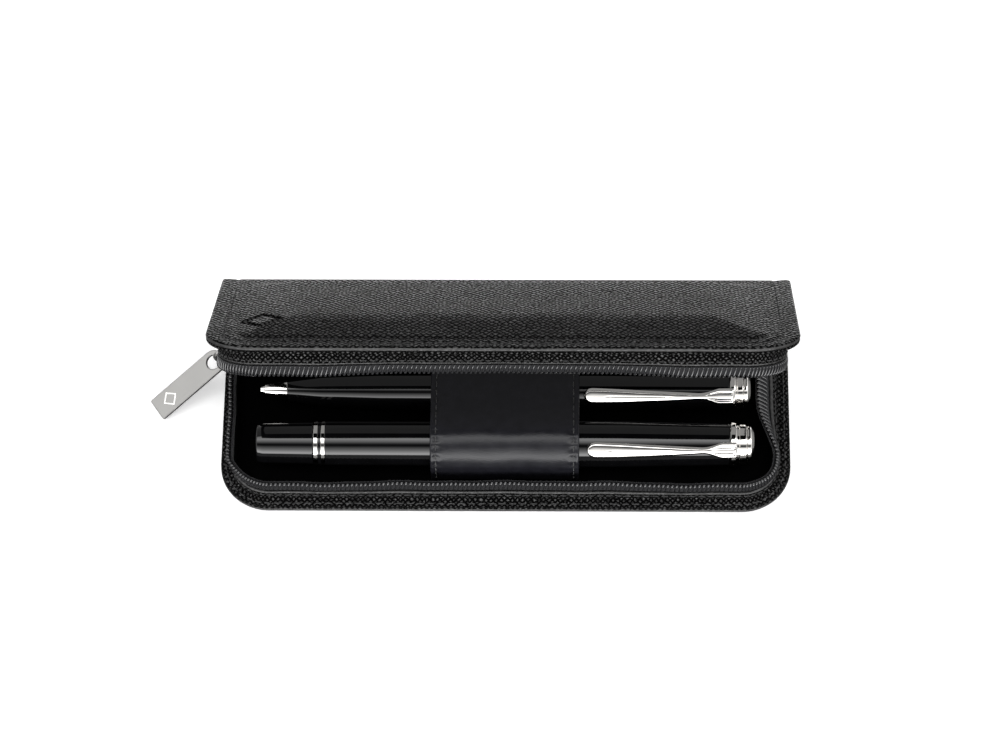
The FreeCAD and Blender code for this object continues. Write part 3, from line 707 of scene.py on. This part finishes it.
def covers():
    for side, bend, step in (("tray", 1.9, 1.0), ("lid", 4.0, 0.55)):
        line = fold_line(side, 0.0, 0.0, bend, step, BACK)
        cover = sheet(f"{side}_cover_leather", line, HALF, CORNER, SKIN, LEATHER, case_relief(side), step)
        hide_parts(f"{side}_cover", "spine_cover")
        cross_fold(cover, side)


def cross_fold(thing, side):
    """Bake a sheet's place into its mesh."""
    if side == "tray":
        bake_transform(thing)
        return
    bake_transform(thing)


def linings():
    face = span("spine_lining")[0][1]
    edge = GUSSET + STITCH_INSET + 0.15
    for side, bend in (("tray", 1.2), ("lid", 2.5)):
        line = fold_line(side, 2.2, edge, bend, 1.4, face + 0.8)
        thing = sheet(f"{side}_floor_lining", line, HALF - edge, CORNER - edge, 0.8, LINING, None, 1.4)
        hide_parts(f"{side}_lining", "spine_lining")
        cross_fold(thing, side)


# ---- walls, tape and coil

EDGE_ROLL = 0.62
TOP_ROLL = 0.46
WALL_ROWS = 0.8
TURN_RADIUS = 1.1
SIDE_LINING_INSET = 4.85
SIDE_LINING_TOP = 7.3


def walls(side):
    place = PLACES[side]
    top = WALL_TOP[side]
    turn = [(2.55 + TURN_RADIUS * math.sin(a), 2.75 - TURN_RADIUS * math.cos(a))
            for a in steps(0, math.pi / 2, 6)]
    foot = [(0.46, 1.65), (1.0, 1.68), (1.8, 1.65)]
    upright = [(3.62, 3.3), (3.68, 4.0), (3.65, top - 0.45)]
    profile = thicken(foot + turn + upright, GUSSET / 2)
    verts, faces = wall_strip(side, profile, WALL_ROWS)
    uvs = wall_uvs(profile, WALL_ROWS)
    gusset = make(f"{side}_gusset_leather", verts, faces, LEATHER, place, uvs)
    finish(gusset, side, "grained_leather", f"{side}_gusset")
    # the rolled edges take the lighter leather with its painted highlight
    rolls = [ring_points(0.56, 0.66, EDGE_ROLL, count=10), ring_points(3.62, top - 0.30, TOP_ROLL, count=10)]
    verts, faces = join_parts([wall_strip(side, roll, WALL_ROWS) for roll in rolls])
    finish(make(f"{side}_turned_edges", verts, faces, LIT_EDGE_LEATHER, place), side, "grained_leather")

    lining = thicken([(SIDE_LINING_INSET, level) for level in steps(3.1, SIDE_LINING_TOP, 6)], 0.2)
    verts, faces = wall_strip(side, lining, 1.2)
    finish(make(f"{side}_side_lining", verts, faces, LINING, place), side, "lining", f"{side}_wall_lining")

    tape = thicken([(TAPE_INSET, level) for level in steps(3.4, TAPE_TOP - 0.25, 9)], 0.24)
    verts, faces = wall_strip(side, tape, 1.0)
    finish(make(f"{side}_woven_tape", verts, faces, TAPE, place), side, "tape", f"{side}_zip_tape")


def finish(thing, body, slot_name, *nodes):
    """Stand a piece in for its CAD nodes and ride it on its body."""
    if nodes:
        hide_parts(*nodes)
    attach(thing, body)


COIL_WIDE = 0.46
COIL_TALL = 1.4
COIL_SLANT = 0.12
COIL_START = 2.3
COIL_END = AROUND - 3.0
COIL_SEGMENTS = 14
WIRE = 0.24
HEAD_SWELL = 0.23


def tube(centres, radii, across, up, sides):
    """Rings of points round a line, in the directions across and up."""
    return [[c + a * x + u * y for x, y in ring_points(0, 0, r, count=sides)]
            for c, r, a, u in zip(centres, radii, across, up)]


def zip_coil(side):
    """The wound coil: one long slanted wire with broader heads, wound round a dark cord."""
    phase = 0.0 if side == "tray" else COIL_PITCH / 2
    centres = []
    radii = []
    for i in range(int((COIL_END - COIL_START) / COIL_PITCH * COIL_SEGMENTS)):
        angle = 2 * math.pi * i / COIL_SEGMENTS
        along = COIL_START + phase + COIL_PITCH * i / COIL_SEGMENTS + COIL_SLANT * math.cos(angle)
        level = COIL_LEVEL + COIL_TALL * math.cos(angle)
        inset = COIL_INSET + COIL_WIDE * math.sin(angle)
        centres.append(on_wall(side, along, inset, level))
        radii.append(WIRE + HEAD_SWELL * max(0.0, math.cos(angle)) ** 3)
    across = []
    up = []
    for i in range(len(centres)):
        before = centres[max(0, i - 1)]
        after = centres[min(len(centres) - 1, i + 1)]
        tangent = (after - before).normalized()
        side_way = tangent.cross(Vector((0, 0, 1)))
        if side_way.length < 1e-3:
            side_way = Vector((1, 0, 0))
        side_way.normalize()
        across.append(side_way)
        up.append(side_way.cross(tangent))
    verts, faces = loft(tube(centres, radii, across, up, 7))
    coil = make(f"{side}_wound_coil", verts, faces, COIL, PLACES[side])
    finish(coil, side, "coil", f"{side}_zip_coil")

    cord = thicken([(COIL_INSET, level) for level in steps(COIL_LEVEL - 1.3, COIL_LEVEL + 0.8, 4)], 0.26)
    verts, faces = wall_strip(side, cord, 1.0)
    finish(make(f"{side}_coil_cord", verts, faces, TAPE, PLACES[side]), side, "tape")


def stitch(start, end, radius, lift):
    """One stitch: a thread that arches from hole to hole. lift is a vector."""
    up = lift.normalized()
    across = (end - start).normalized().cross(up).normalized()
    places = steps(0, 1, 7)
    centres = [start.lerp(end, t) + lift * math.sin(math.pi * t) for t in places]
    radii = [radius * (0.25 + 0.75 * math.sin(math.pi * (0.12 + 0.76 * t))) for t in places]
    return loft(tube(centres, radii, [across] * 7, [up] * 7, 8))


def seam(at, length, radius, pitch, long, sink):
    """Stitches along a line whose place and outward direction at a distance are at(distance)."""
    parts = []
    for i in range(int(length / pitch)):
        start, out_start = at(i * pitch + (pitch - long) / 2)
        end, out_end = at(i * pitch + (pitch + long) / 2)
        parts.append(stitch(start, end, radius, (out_start + out_end).normalized() * sink))
    return join_parts(parts)


def round_edge(inset, level, outward):
    """The place and direction of a row of stitches that follows the outline, for seam."""
    def at(distance):
        (x, y), normal = outline(min(AROUND, distance))
        return Vector((x - normal[0] * inset, y - normal[1] * inset, level)), Vector((0, 0, outward))
    return at


def edge_seams(side):
    """Stitches that join cover and wall, on the cover's outer face and inside on the wall's foot."""
    inset = STITCH_INSET if side == "tray" else LID_STITCH_INSET
    verts, faces = seam(round_edge(inset, 0.26, -1), AROUND - 4, radius=0.20, pitch=2.9, long=2.1, sink=0.14)
    stitches = make(f"{side}_edge_stitches", verts, faces, THREAD, PLACES[side])
    finish(stitches, side, "thread", f"{side}_edge_thread")
    verts, faces = seam(round_edge(1.5, 2.08, 1), AROUND - 2, radius=0.17, pitch=2.9, long=2.0, sink=0.1)
    finish(make(f"{side}_flange_stitches", verts, faces, THREAD, PLACES[side]), side, "thread")


def wall_seams(side):
    """The row that sews the tape to the wall, below the folded top edge."""
    def at(distance):
        distance = min(AROUND - 0.5, max(0.5, distance))
        normal = outline(distance)[1]
        return on_wall(side, distance, 3.2, WALL_TOP[side] - 1.2), Vector((*normal, 0))

    verts, faces = seam(at, AROUND - 1, radius=0.16, pitch=2.6, long=1.8, sink=0.08)
    finish(make(f"{side}_tape_stitches", verts, faces, THREAD, PLACES[side]), side, "thread")


# ---- the pen band

LOOP_PLACES = ((-14.8, 10.0, 7.1), (2.4, 9.0, 6.0), (20.4, 7.2, 5.4))


def draped_line(growth, foot, step):
    """Rows of (distance, y, z, inward y, inward z) over the three loops, grown by a thickness."""
    circles = [(y, z, r + growth) for y, z, r in LOOP_PLACES]
    leans = []
    for (y0, z0, r0), (y1, z1, r1) in zip(circles, circles[1:]):
        run, rise = y1 - y0, z1 - z0
        leans.append(math.atan2(rise, run) + math.acos((r0 - r1) / math.hypot(run, rise)))
    spans = ((math.pi, leans[0]), (leans[0], leans[1]), (leans[1], 0.0))
    points = [((circles[0][0] - circles[0][2], z), (1.0, 0.0))
              for z in steps(foot, circles[0][1], 9)[:-1]]
    for number, ((y, z, r), (start, end)) in enumerate(zip(circles, spans)):
        count = max(3, round(abs(start - end) * r / step))
        for a in steps(start, end, count):
            points.append(((y + r * math.cos(a), z + r * math.sin(a)), (-math.cos(a), -math.sin(a))))
        if number < 2:
            here, inward = points[-1]
            y1, z1, r1 = circles[number + 1]
            there = (y1 + r1 * math.cos(end), z1 + r1 * math.sin(end))
            for t in steps(0, 1, 12)[1:-1]:
                sag = 0.5 * math.sin(math.pi * t) ** 2
                points.append(((here[0] + (there[0] - here[0]) * t + inward[0] * sag,
                                here[1] + (there[1] - here[1]) * t + inward[1] * sag), inward))
    y, z, r = circles[2]
    points += [((y + r, level), (-1.0, 0.0)) for level in steps(z, foot, 9)[1:]]
    line, travelled, last = [], 0.0, points[0][0]
    for (y, z), (in_y, in_z) in points:
        travelled += math.hypot(y - last[0], z - last[1])
        last = (y, z)
        line.append((travelled, y, z, in_y, in_z))
    return line


BAND_STITCH = 1.6


def band_relief(x, ahead, inward):
    edge = BAND_HALF - abs(x)
    groove = 0.32 * bell(edge - BAND_STITCH, 0.55)
    pucker = 0.20 * math.sin(ahead * 2 * math.pi / 2.6) * bell(edge - BAND_STITCH, 1.2)
    soft = 0.22 * noise.noise(Vector((x * 0.09, ahead * 0.12, 7.0)))
    return soft * smooth(1.5, 5, edge) - groove + pucker + 0.12 * bell(edge - 0.6, 0.6)


def pen_band():
    foot = span("tray_lining")[1][2]
    line = draped_line(1.4, foot, 0.6)
    band = sheet("band_leather", line, BAND_HALF, 0.001, 1.0, NAPPA, band_relief, 0.6)
    finish(band, "tray", "smooth_leather", "pen_band")
    under = sheet("band_under_lining", draped_line(0.4, foot, 1.0), BAND_HALF - 0.2, 0.001, 0.4, LINING,
                  None, 1.4)
    finish(under, "tray", "lining", "pen_band_lining")

    table = draped_line(1.4, foot, 0.3)

    def at_side(x):
        def at(distance):
            distance += 1.0
            for (d0, y0, z0, a0, b0), (d1, y1, z1, a1, b1) in zip(table, table[1:]):
                if d1 >= distance:
                    t = (distance - d0) / max(1e-9, d1 - d0)
                    inward = Vector((0, a0 + (a1 - a0) * t, b0 + (b1 - b0) * t))
                    spot = Vector((x, y0 + (y1 - y0) * t, z0 + (z1 - z0) * t))
                    return spot + inward * 0.2, -inward
            return Vector((x, table[-1][1], table[-1][2])), Vector((0, 1, 0))
        return at

    rows = [seam(at_side(side * (BAND_HALF - BAND_STITCH)), table[-1][0] - 2,
                 radius=0.17, pitch=2.6, long=1.9, sink=0.13) for side in (-1, 1)]
    verts, faces = join_parts(rows)
    finish(make("band_stitches", verts, faces, THREAD), "tray", "thread", "band_thread")


def dividers():
    """The folded leather strips that part the loops."""
    low, high = span("loop_dividers")
    parts = []
    for middle in (low[1] + 0.6, high[1] - 0.6):
        profile = thicken([(middle, z) for z in steps(low[2], high[2] - 0.55, 6)], 0.55)
        rings = []
        for x in steps(low[0] + 0.4, high[0] - 0.4, 30):
            wave = 0.12 * math.sin(x * 0.35 + middle)
            rings.append([Vector((x, y + wave * (z - low[2]) / 10, z)) for y, z in profile])
        parts.append(loft(rings))
    verts, faces = join_parts(parts)
    finish(make("loop_divider_leather", verts, faces, NAPPA), "tray", "smooth_leather", "loop_dividers")


# ---- pens

CLIP_TURN = math.radians(39)
CLIP_HALF = 2.35
NECK_HALF = 1.0
ROOT_HALF = 3.0


def pen_place(start, loop):
    """A pen's place: its tail at start along the case, its axis through a loop's middle."""
    return Matrix.Translation((start, *loop[:2])) @ Matrix.Rotation(CLIP_TURN, 4, "X")


FOUNTAIN = pen_place(-70.3, LOOP_PLACES[0])
BALL = pen_place(-70.0, LOOP_PLACES[1])


def rounded_profile(corners):
    """(x, r, rounding) corners to a smooth half profile."""
    points = []
    for i, (x, r, bend) in enumerate(corners):
        if bend == 0 or i in (0, len(corners) - 1):
            points.append((x, r))
            continue
        here = Vector((x, r))
        before = (Vector(corners[i - 1][:2]) - here)
        after = (Vector(corners[i + 1][:2]) - here)
        half = before.angle(after) / 2
        cut = min(bend / math.tan(half), before.length * 0.49, after.length * 0.49)
        start = here + before.normalized() * cut
        end = here + after.normalized() * cut
        for t in steps(0, 1, 7):
            points.append(tuple((start * (1 - t) + here * t) * (1 - t) + (here * (1 - t) + end * t) * t))
    return points


def lathe(name, corners, place, material, sides=96):
    """A closed turned piece about the local X axis."""
    profile = rounded_profile(corners)
    verts, faces, rows = [], [], []
    for x, r in profile:
        if r < 1e-6:
            rows.append([len(verts)])
            verts.append((x, 0, 0))
            continue
        rows.append(list(range(len(verts), len(verts) + sides)))
        for a in steps(0, 2 * math.pi, sides + 1)[:-1]:
            verts.append((x, r * math.sin(a), r * math.cos(a)))
    pairs = list(zip(rows, rows[1:]))
    if len(rows[0]) > 1:
        pairs.append((rows[-1], rows[0]))
    for here, there in pairs:
        for j in range(sides):
            k = (j + 1) % sides
            if len(here) == 1:
                faces.append((here[0], there[k], there[j]))
            elif len(there) == 1:
                faces.append((here[j], here[k], there[0]))
            else:
                faces.append((here[j], here[k], there[k], there[j]))
    return make(name, verts, faces, material, place)


def solid(*corners):
    """Close an outer profile of (x, r, rounding) with points on the axis."""
    return [(corners[0][0], 0.0, 0), *corners, (corners[-1][0], 0.0, 0)]


def clip_leaf(name, place, low, tip, neck, root):
    """A plain sprung clip: broad rounded tip with a fine crease, slim neck and flared root."""
    shares = [0.0, 0.03, 0.07, 0.12, 0.2, 0.32, 0.42, 0.5, 0.6, 0.72, 0.82, 0.9, 0.96, 1.0]
    shares = [-u for u in reversed(shares)] + shares[1:]
    neck_at = (neck - tip) / (root - tip)
    rings = []
    for t in steps(0, 1, 91):
        belly = CLIP_HALF * math.sqrt(max(0.0, 1 - (1 - min(1.0, t / 0.06)) ** 2))
        taper = max(0.0, min(1.0, (t - 0.08) / (neck_at - 0.08))) ** 1.25
        slim = CLIP_HALF - (CLIP_HALF - NECK_HALF) * taper
        slim += (ROOT_HALF - NECK_HALF) * smooth(neck_at + 0.01, 0.98, t)
        half = max(0.10, min(belly, slim))
        height = low + 0.5 + 0.8 * math.sin(math.pi * min(1.0, t * 1.04)) ** 0.8
        flare = smooth(neck_at + 0.04, neck_at + 0.12, t) * (1 - smooth(0.97, 1.0, t))
        crease = smooth(0.13, 0.2, t) * (1 - smooth(0.5, 0.62, t))
        ring = []
        for u in shares:
            bevel = min(1.0, (1 - abs(u)) * half / 0.6) ** 0.8
            lift = 0.62 * bevel + 0.22 * (1 - u * u)
            lift -= 0.09 * crease * bell(u * half, 0.12) + 0.38 * flare * bell(abs(u) - 0.46, 0.15)
            ring.append((tip + (root - tip) * t, u * half, height + lift))
        for u in (0.86, 0.4, 0.0, -0.4, -0.86):
            ring.append((tip + (root - tip) * t, u * half, height - 0.2 * (1 - u * u)))
        rings.append(ring)
    return make(name, *loft(rings), CHROME, place)


def clip_root(name, place, x, low, high):
    """The upright that carries the clip's root from the crown ring."""
    rings = []
    for z in steps(low, high, 8):
        spread = 1.0 + 0.25 * smooth(low + 0.6, high, z)
        rings.append([(x + 1.05 * across, 1.9 * spread * along, z)
                      for across, along in ring_points(0, 0, 1, count=20)])
    return make(name, *loft(rings), CHROME, place)


def add_clip(pen, place, leaf, root):
    finish(clip_leaf(f"{pen}_clip_leaf", place, *leaf), f"{pen}_pen", "trim", f"{pen}_pen_clip")
    finish(clip_root(f"{pen}_clip_root", place, *root), f"{pen}_pen", "trim")


def ring(start, end, low, high, rounding):
    """The outline of a plain ring."""
    return solid((start, low, 0), (start, high, rounding), (end, high, rounding), (end, low, 0))


def add_turned(pen, place, pieces):
    """Turned pieces of a pen as (name, finish, body, CAD node without the pen's name, outline)."""
    for name, slot_name, body, node, corners in pieces:
        thing = lathe(f"{pen}_{name}", corners, place, SLOT_MATERIALS[slot_name])
        finish(thing, body, slot_name, f"{pen}_pen_{node}")


def fountain_pen():
    add_turned("fountain", FOUNTAIN, [
        ("knob_turned", "resin", "piston_knob", "piston_knob",
         solid((0.0, 4.6, 0), (0.25, 5.45, 1.2), (1.8, 5.72, 3.0), (16.25, 6.02, 0.35))),
        ("tail_ring_one", "trim", "fountain_pen", "tail_rings", ring(16.42, 17.58, 6.0, 6.26, 0.15)),
        ("tail_ring_two", "trim", "fountain_pen", "tail_rings", ring(18.52, 19.58, 6.0, 6.28, 0.15)),
        ("barrel_turned", "resin", "fountain_pen", "barrel",
         solid((19.6, 6.27, 0), (19.8, 6.3, 0.2), (48.0, 6.36, 30), (73.9, 6.30, 0.3))),
        ("cap_turned", "resin", "fountain_pen", "cap",
         solid((75.0, 6.5, 0), (75.0, 6.72, 0.2), (81.0, 6.74, 3), (104.0, 6.62, 40), (133.65, 5.95, 0.25))),
        ("lip_ring_turned", "trim", "fountain_pen", "lip_ring", ring(76.5, 80.5, 6.7, 6.95, 0.25)),
        ("crown_turned", "trim", "fountain_pen", "crown_ring",
         solid((133.72, 5.7, 0), (133.72, 6.0, 0.3), (134.1, 6.3, 0.4), (135.5, 6.3, 0.5),
               (135.6, 5.5, 0.2), (136.3, 5.5, 0.2), (136.5, 5.75, 0.15), (138.3, 5.7, 0.2),
               (138.4, 5.2, 0.1), (138.58, 5.1, 0.1))),
        ("finial_turned", "trim", "fountain_pen", "finial",
         solid((138.62, 4.6, 0), (138.62, 5.35, 0.3), (139.7, 5.3, 0.8), (140.6, 3.9, 1.6),
               (140.95, 1.6, 2.0))),
    ])
    add_clip("fountain", FOUNTAIN, leaf=(7.0, 93.4, 125.6, 135.4), root=(134.6, 5.4, 7.7))


def ball_pen():
    add_turned("ball", BALL, [
        ("cone_turned", "trim", "ball_pen_lower", "tip_cone",
         [(0.0, 0.57, 0), (0.0, 0.75, 0), (0.15, 1.0, 0.1), (1.3, 1.3, 0.6), (1.35, 1.6, 0.1),
          (7.85, 3.08, 0.1), (7.85, 1.58, 0), (3.8, 1.58, 0), (1.7, 0.57, 0)]),
        ("lower_turned", "resin", "ball_pen_lower", "lower_barrel",
         solid((7.9, 3.05, 0), (8.0, 3.15, 0.1), (17.0, 4.75, 25), (34.0, 5.62, 40), (69.9, 5.85, 0.3))),
        ("centre_ring_turned", "trim", "ball_pen", "centre_ring", ring(70.12, 71.98, 5.6, 5.93, 0.2)),
        ("upper_turned", "resin", "ball_pen", "upper_barrel",
         solid((72.02, 5.8, 0), (72.1, 5.85, 0.1), (100.0, 5.8, 40), (133.55, 5.42, 0.25))),
        ("crown_turned", "trim", "ball_pen", "crown_ring",
         solid((133.62, 5.1, 0), (133.62, 5.5, 0.3), (134.0, 5.8, 0.4), (135.2, 5.8, 0.5),
               (135.3, 5.0, 0.2), (135.7, 5.0, 0.2), (135.9, 5.25, 0.15), (137.4, 5.2, 0.2),
               (137.45, 4.8, 0.1), (137.58, 4.7, 0.1))),
        ("finial_turned", "trim", "ball_pen", "finial",
         solid((137.62, 4.2, 0), (137.62, 4.85, 0.3), (138.7, 4.8, 0.8), (139.6, 3.4, 1.6),
               (139.95, 1.4, 2.0))),
    ])
    add_clip("ball", BALL, leaf=(6.1, 92.2, 124.6, 134.6), root=(133.9, 4.9, 6.8))


# ---- slider and pull

def bevel_node(node, width):
    """Soften a CAD metal piece's edges without changing its mesh."""
    change = frame["nodes"][node].modifiers.new("edges", "BEVEL")
    change.width = width * MM
    change.segments = 3
    change.limit_method = "ANGLE"


PULL_HEADING = math.radians(214.8)
PULL_DROP = math.radians(22.5)
PULL_HALF = 3.5
PULL_END = 24.0
PULL_CORNER = 0.5
PULL_THICK = 1.1
PLATE_WELD = 1e-7
EYE = 2.4
EYE_RADIUS = 2.1


def pull_place():
    joint = next(j for j in frame["record"]["behaviour"]["joints"] if j["name"] == "puller_lift")
    spot = Matrix.Translation([c / MM for c in joint["pos_m"]])
    return spot @ Matrix.Rotation(PULL_HEADING, 4, "Z") @ Matrix.Rotation(PULL_DROP, 4, "Y")


def curve_loop(curve, points):
    spline = curve.splines.new("POLY")
    spline.points.add(len(points) - 1)
    for target, (x, y) in zip(spline.points, points):
        target.co = (x * MM, y * MM, 0, 1)
    spline.use_cyclic_u = True


def plate(name, loops, thick, bevel, material, place, lift=0.0):
    """A flat plate with holes and softened edges."""
    curve = bpy.data.curves.new(name, "CURVE")
    curve.dimensions = "2D"
    curve.fill_mode = "BOTH"
    curve.extrude = (thick / 2 - bevel) * MM
    curve.bevel_depth = bevel * MM
    curve.bevel_resolution = 3
    curve.offset = -bevel * MM
    for points in loops:
        curve_loop(curve, points)
    thing = link_object(name, curve)
    bpy.context.view_layer.update()
    graph = bpy.context.evaluated_depsgraph_get()
    mesh = bpy.data.meshes.new_from_object(thing.evaluated_get(graph))
    bpy.data.objects.remove(thing)
    metres = Matrix.Translation(place.translation * MM) @ place.to_3x3().to_4x4()
    mesh.transform(metres @ Matrix.Translation((0, 0, lift * MM)))
    mesh.materials.clear()
    mesh.materials.append(material)
    clean(mesh, PLATE_WELD)
    return link_object(name, mesh)


def puller():
    place = pull_place()
    outer = ring_points(EYE, 0, PULL_HALF, math.pi / 2, 1.5 * math.pi, 24) + [(EYE, -PULL_HALF)]
    outer += ring_points(PULL_END - PULL_CORNER, PULL_CORNER - PULL_HALF, PULL_CORNER, -math.pi / 2, 0, 6)
    outer += ring_points(PULL_END - PULL_CORNER, PULL_HALF - PULL_CORNER, PULL_CORNER, 0, math.pi / 2, 6)
    outer += [(PULL_END - PULL_CORNER, PULL_HALF)]
    bar = plate("puller_plate", [outer, ring_points(EYE, 0, EYE_RADIUS)], PULL_THICK, 0.2, PULL_METAL, place)
    finish(bar, "pull", "trim", "puller")
    lozenge = [ring_points(PULL_END - 5.2, 0, size, count=4) for size in (2.4, 1.8)]
    for side, name in ((1, "face"), (-1, "back")):
        mark = plate(f"puller_mark_{name}", lozenge, 0.16, 0.05, SLIDER_METAL, place, side * PULL_THICK / 2)
        finish(mark, "pull", "trim")


# ---- stage, light and camera

# brightness of the studio seen in each direction from straight down behind, over the top,
# to straight down in front: (degrees from overhead, brightness)
SKY = ((-180, 1.0), (-92, 0.6), (-60, 0.4), (-35, 0.35), (-14, 0.3), (-7, 3.0), (3, 3.5), (8, 4.0), (13, 3.0),
       (18, 2.3), (23, 1.4), (28.5, 0.5), (34, 0.05), (39, 0.02), (44, 0.25), (49, 0.9), (60, 2.1), (71, 3.9),
       (76.5, 5.4), (82, 6.6), (88, 5.9), (94, 4.5), (103, 3.0), (120, 1.2), (180, 1.0))
SKY_BRIGHTEST = 6.6
SIDE_BRIGHTNESS = 1.0
FLOOR_HALF = 4000
FLOOR_GAP = 0.2


def studio_sky():
    """A soft studio all round: a broad bright window in front, a narrow one overhead."""
    m = Nodes("studio", "worlds", "Background")
    bpy.context.scene.world = m.owner
    m.fill(Strength=SKY_BRIGHTEST)
    parts = m.add("ShaderNodeSeparateXYZ")
    m.link(m.coords.outputs["Generated"], parts.inputs["Vector"])
    tilt = m.mix("ARCTAN2", m.mix("MULTIPLY", parts.outputs["Y"], -1.0), parts.outputs["Z"])
    share = m.mix("ADD", m.mix("MULTIPLY", tilt, 0.5 / math.pi), 0.5)
    stops = [(angle / 360 + 0.5, (brightness / SKY_BRIGHTEST,) * 3) for angle, brightness in SKY]
    sideways = m.add("ShaderNodeMapRange", interpolation_type="SMOOTHSTEP")
    sideways.inputs["From Min"].default_value = 0.55
    sideways.inputs["From Max"].default_value = 0.95
    m.link(m.mix("ABSOLUTE", parts.outputs["X"], 0.0), sideways.inputs["Value"])
    mixed = m.add("ShaderNodeMix", data_type="RGBA")
    m.link(sideways.outputs["Result"], mixed.inputs["Factor"])
    m.link(m.ramp(share, stops, "EASE"), mixed.inputs["A"])
    level = SIDE_BRIGHTNESS / SKY_BRIGHTEST
    mixed.inputs["B"].default_value = (level, level, level, 1)
    m.link(mixed.outputs["Result"], m.shader.inputs["Color"])


def light_card(name, size, middle, facing, brightness, only_reflected):
    """A soft card of light outside the camera's sight, in millimetres."""
    lamp = bpy.data.lights.new(name, "AREA")
    lamp.shape = "RECTANGLE"
    lamp.size, lamp.size_y = (length * MM for length in size)
    lamp.energy = brightness * math.pi * lamp.size * lamp.size_y
    thing = link_object(name, lamp)
    thing.location = Vector(middle) * MM
    thing.rotation_mode = "QUATERNION"
    thing.rotation_quaternion = Vector(facing).to_track_quat("-Z", "Y")
    thing.visible_camera = False
    thing.visible_diffuse = not only_reflected


def studio():
    corners = [(x * FLOOR_HALF, y * FLOOR_HALF, 0) for x, y in ((-1, -1), (1, -1), (1, 1), (-1, 1))]
    floor = make("floor", corners, [(0, 1, 2, 3)], floor_paper("floor_paper"))
    floor.location.z = -FLOOR_GAP * MM
    studio_sky()
    light_card("lid_card", (144, 34), (0, 11.8, 35.5), (0, -1, -1), brightness=0.26, only_reflected=True)
    light_card("table_card", (230, 36), (0, 51, 2), (0, -0.2, 1), brightness=2.1, only_reflected=False)
    bpy.context.scene.view_settings.view_transform = "Standard"


CAMERA_ANGLES = (2.53, 64.2, 2.11)
CAMERA_DISTANCE = 1.035
CAMERA_LENS = 129.8
CAMERA_SHIFT = (-0.0061, 0.0366)


def camera():
    azimuth, elevation, roll = (math.radians(angle) for angle in CAMERA_ANGLES)
    back = Vector((math.sin(azimuth) * math.cos(elevation), -math.cos(azimuth) * math.cos(elevation),
                   math.sin(elevation)))
    level = Vector((math.cos(azimuth), math.sin(azimuth), 0))
    rise = back.cross(level)
    right = level * math.cos(roll) - rise * math.sin(roll)
    up = level * math.sin(roll) + rise * math.cos(roll)
    data = bpy.data.cameras.new("camera")
    data.sensor_width = 36
    data.lens = CAMERA_LENS
    data.shift_x, data.shift_y = CAMERA_SHIFT
    thing = link_object("camera", data)
    turn = Matrix((right, up, back)).transposed().to_4x4()
    thing.matrix_world = Matrix.Translation(back * CAMERA_DISTANCE) @ turn
    bpy.context.scene.camera = thing


dress_cad_nodes()
covers()
linings()
for half_name in ("tray", "lid"):
    walls(half_name)
    zip_coil(half_name)
    edge_seams(half_name)
    wall_seams(half_name)
pen_band()
dividers()
fountain_pen()
ball_pen()
puller()
bevel_node("slider_body", 0.25)
studio()
camera()
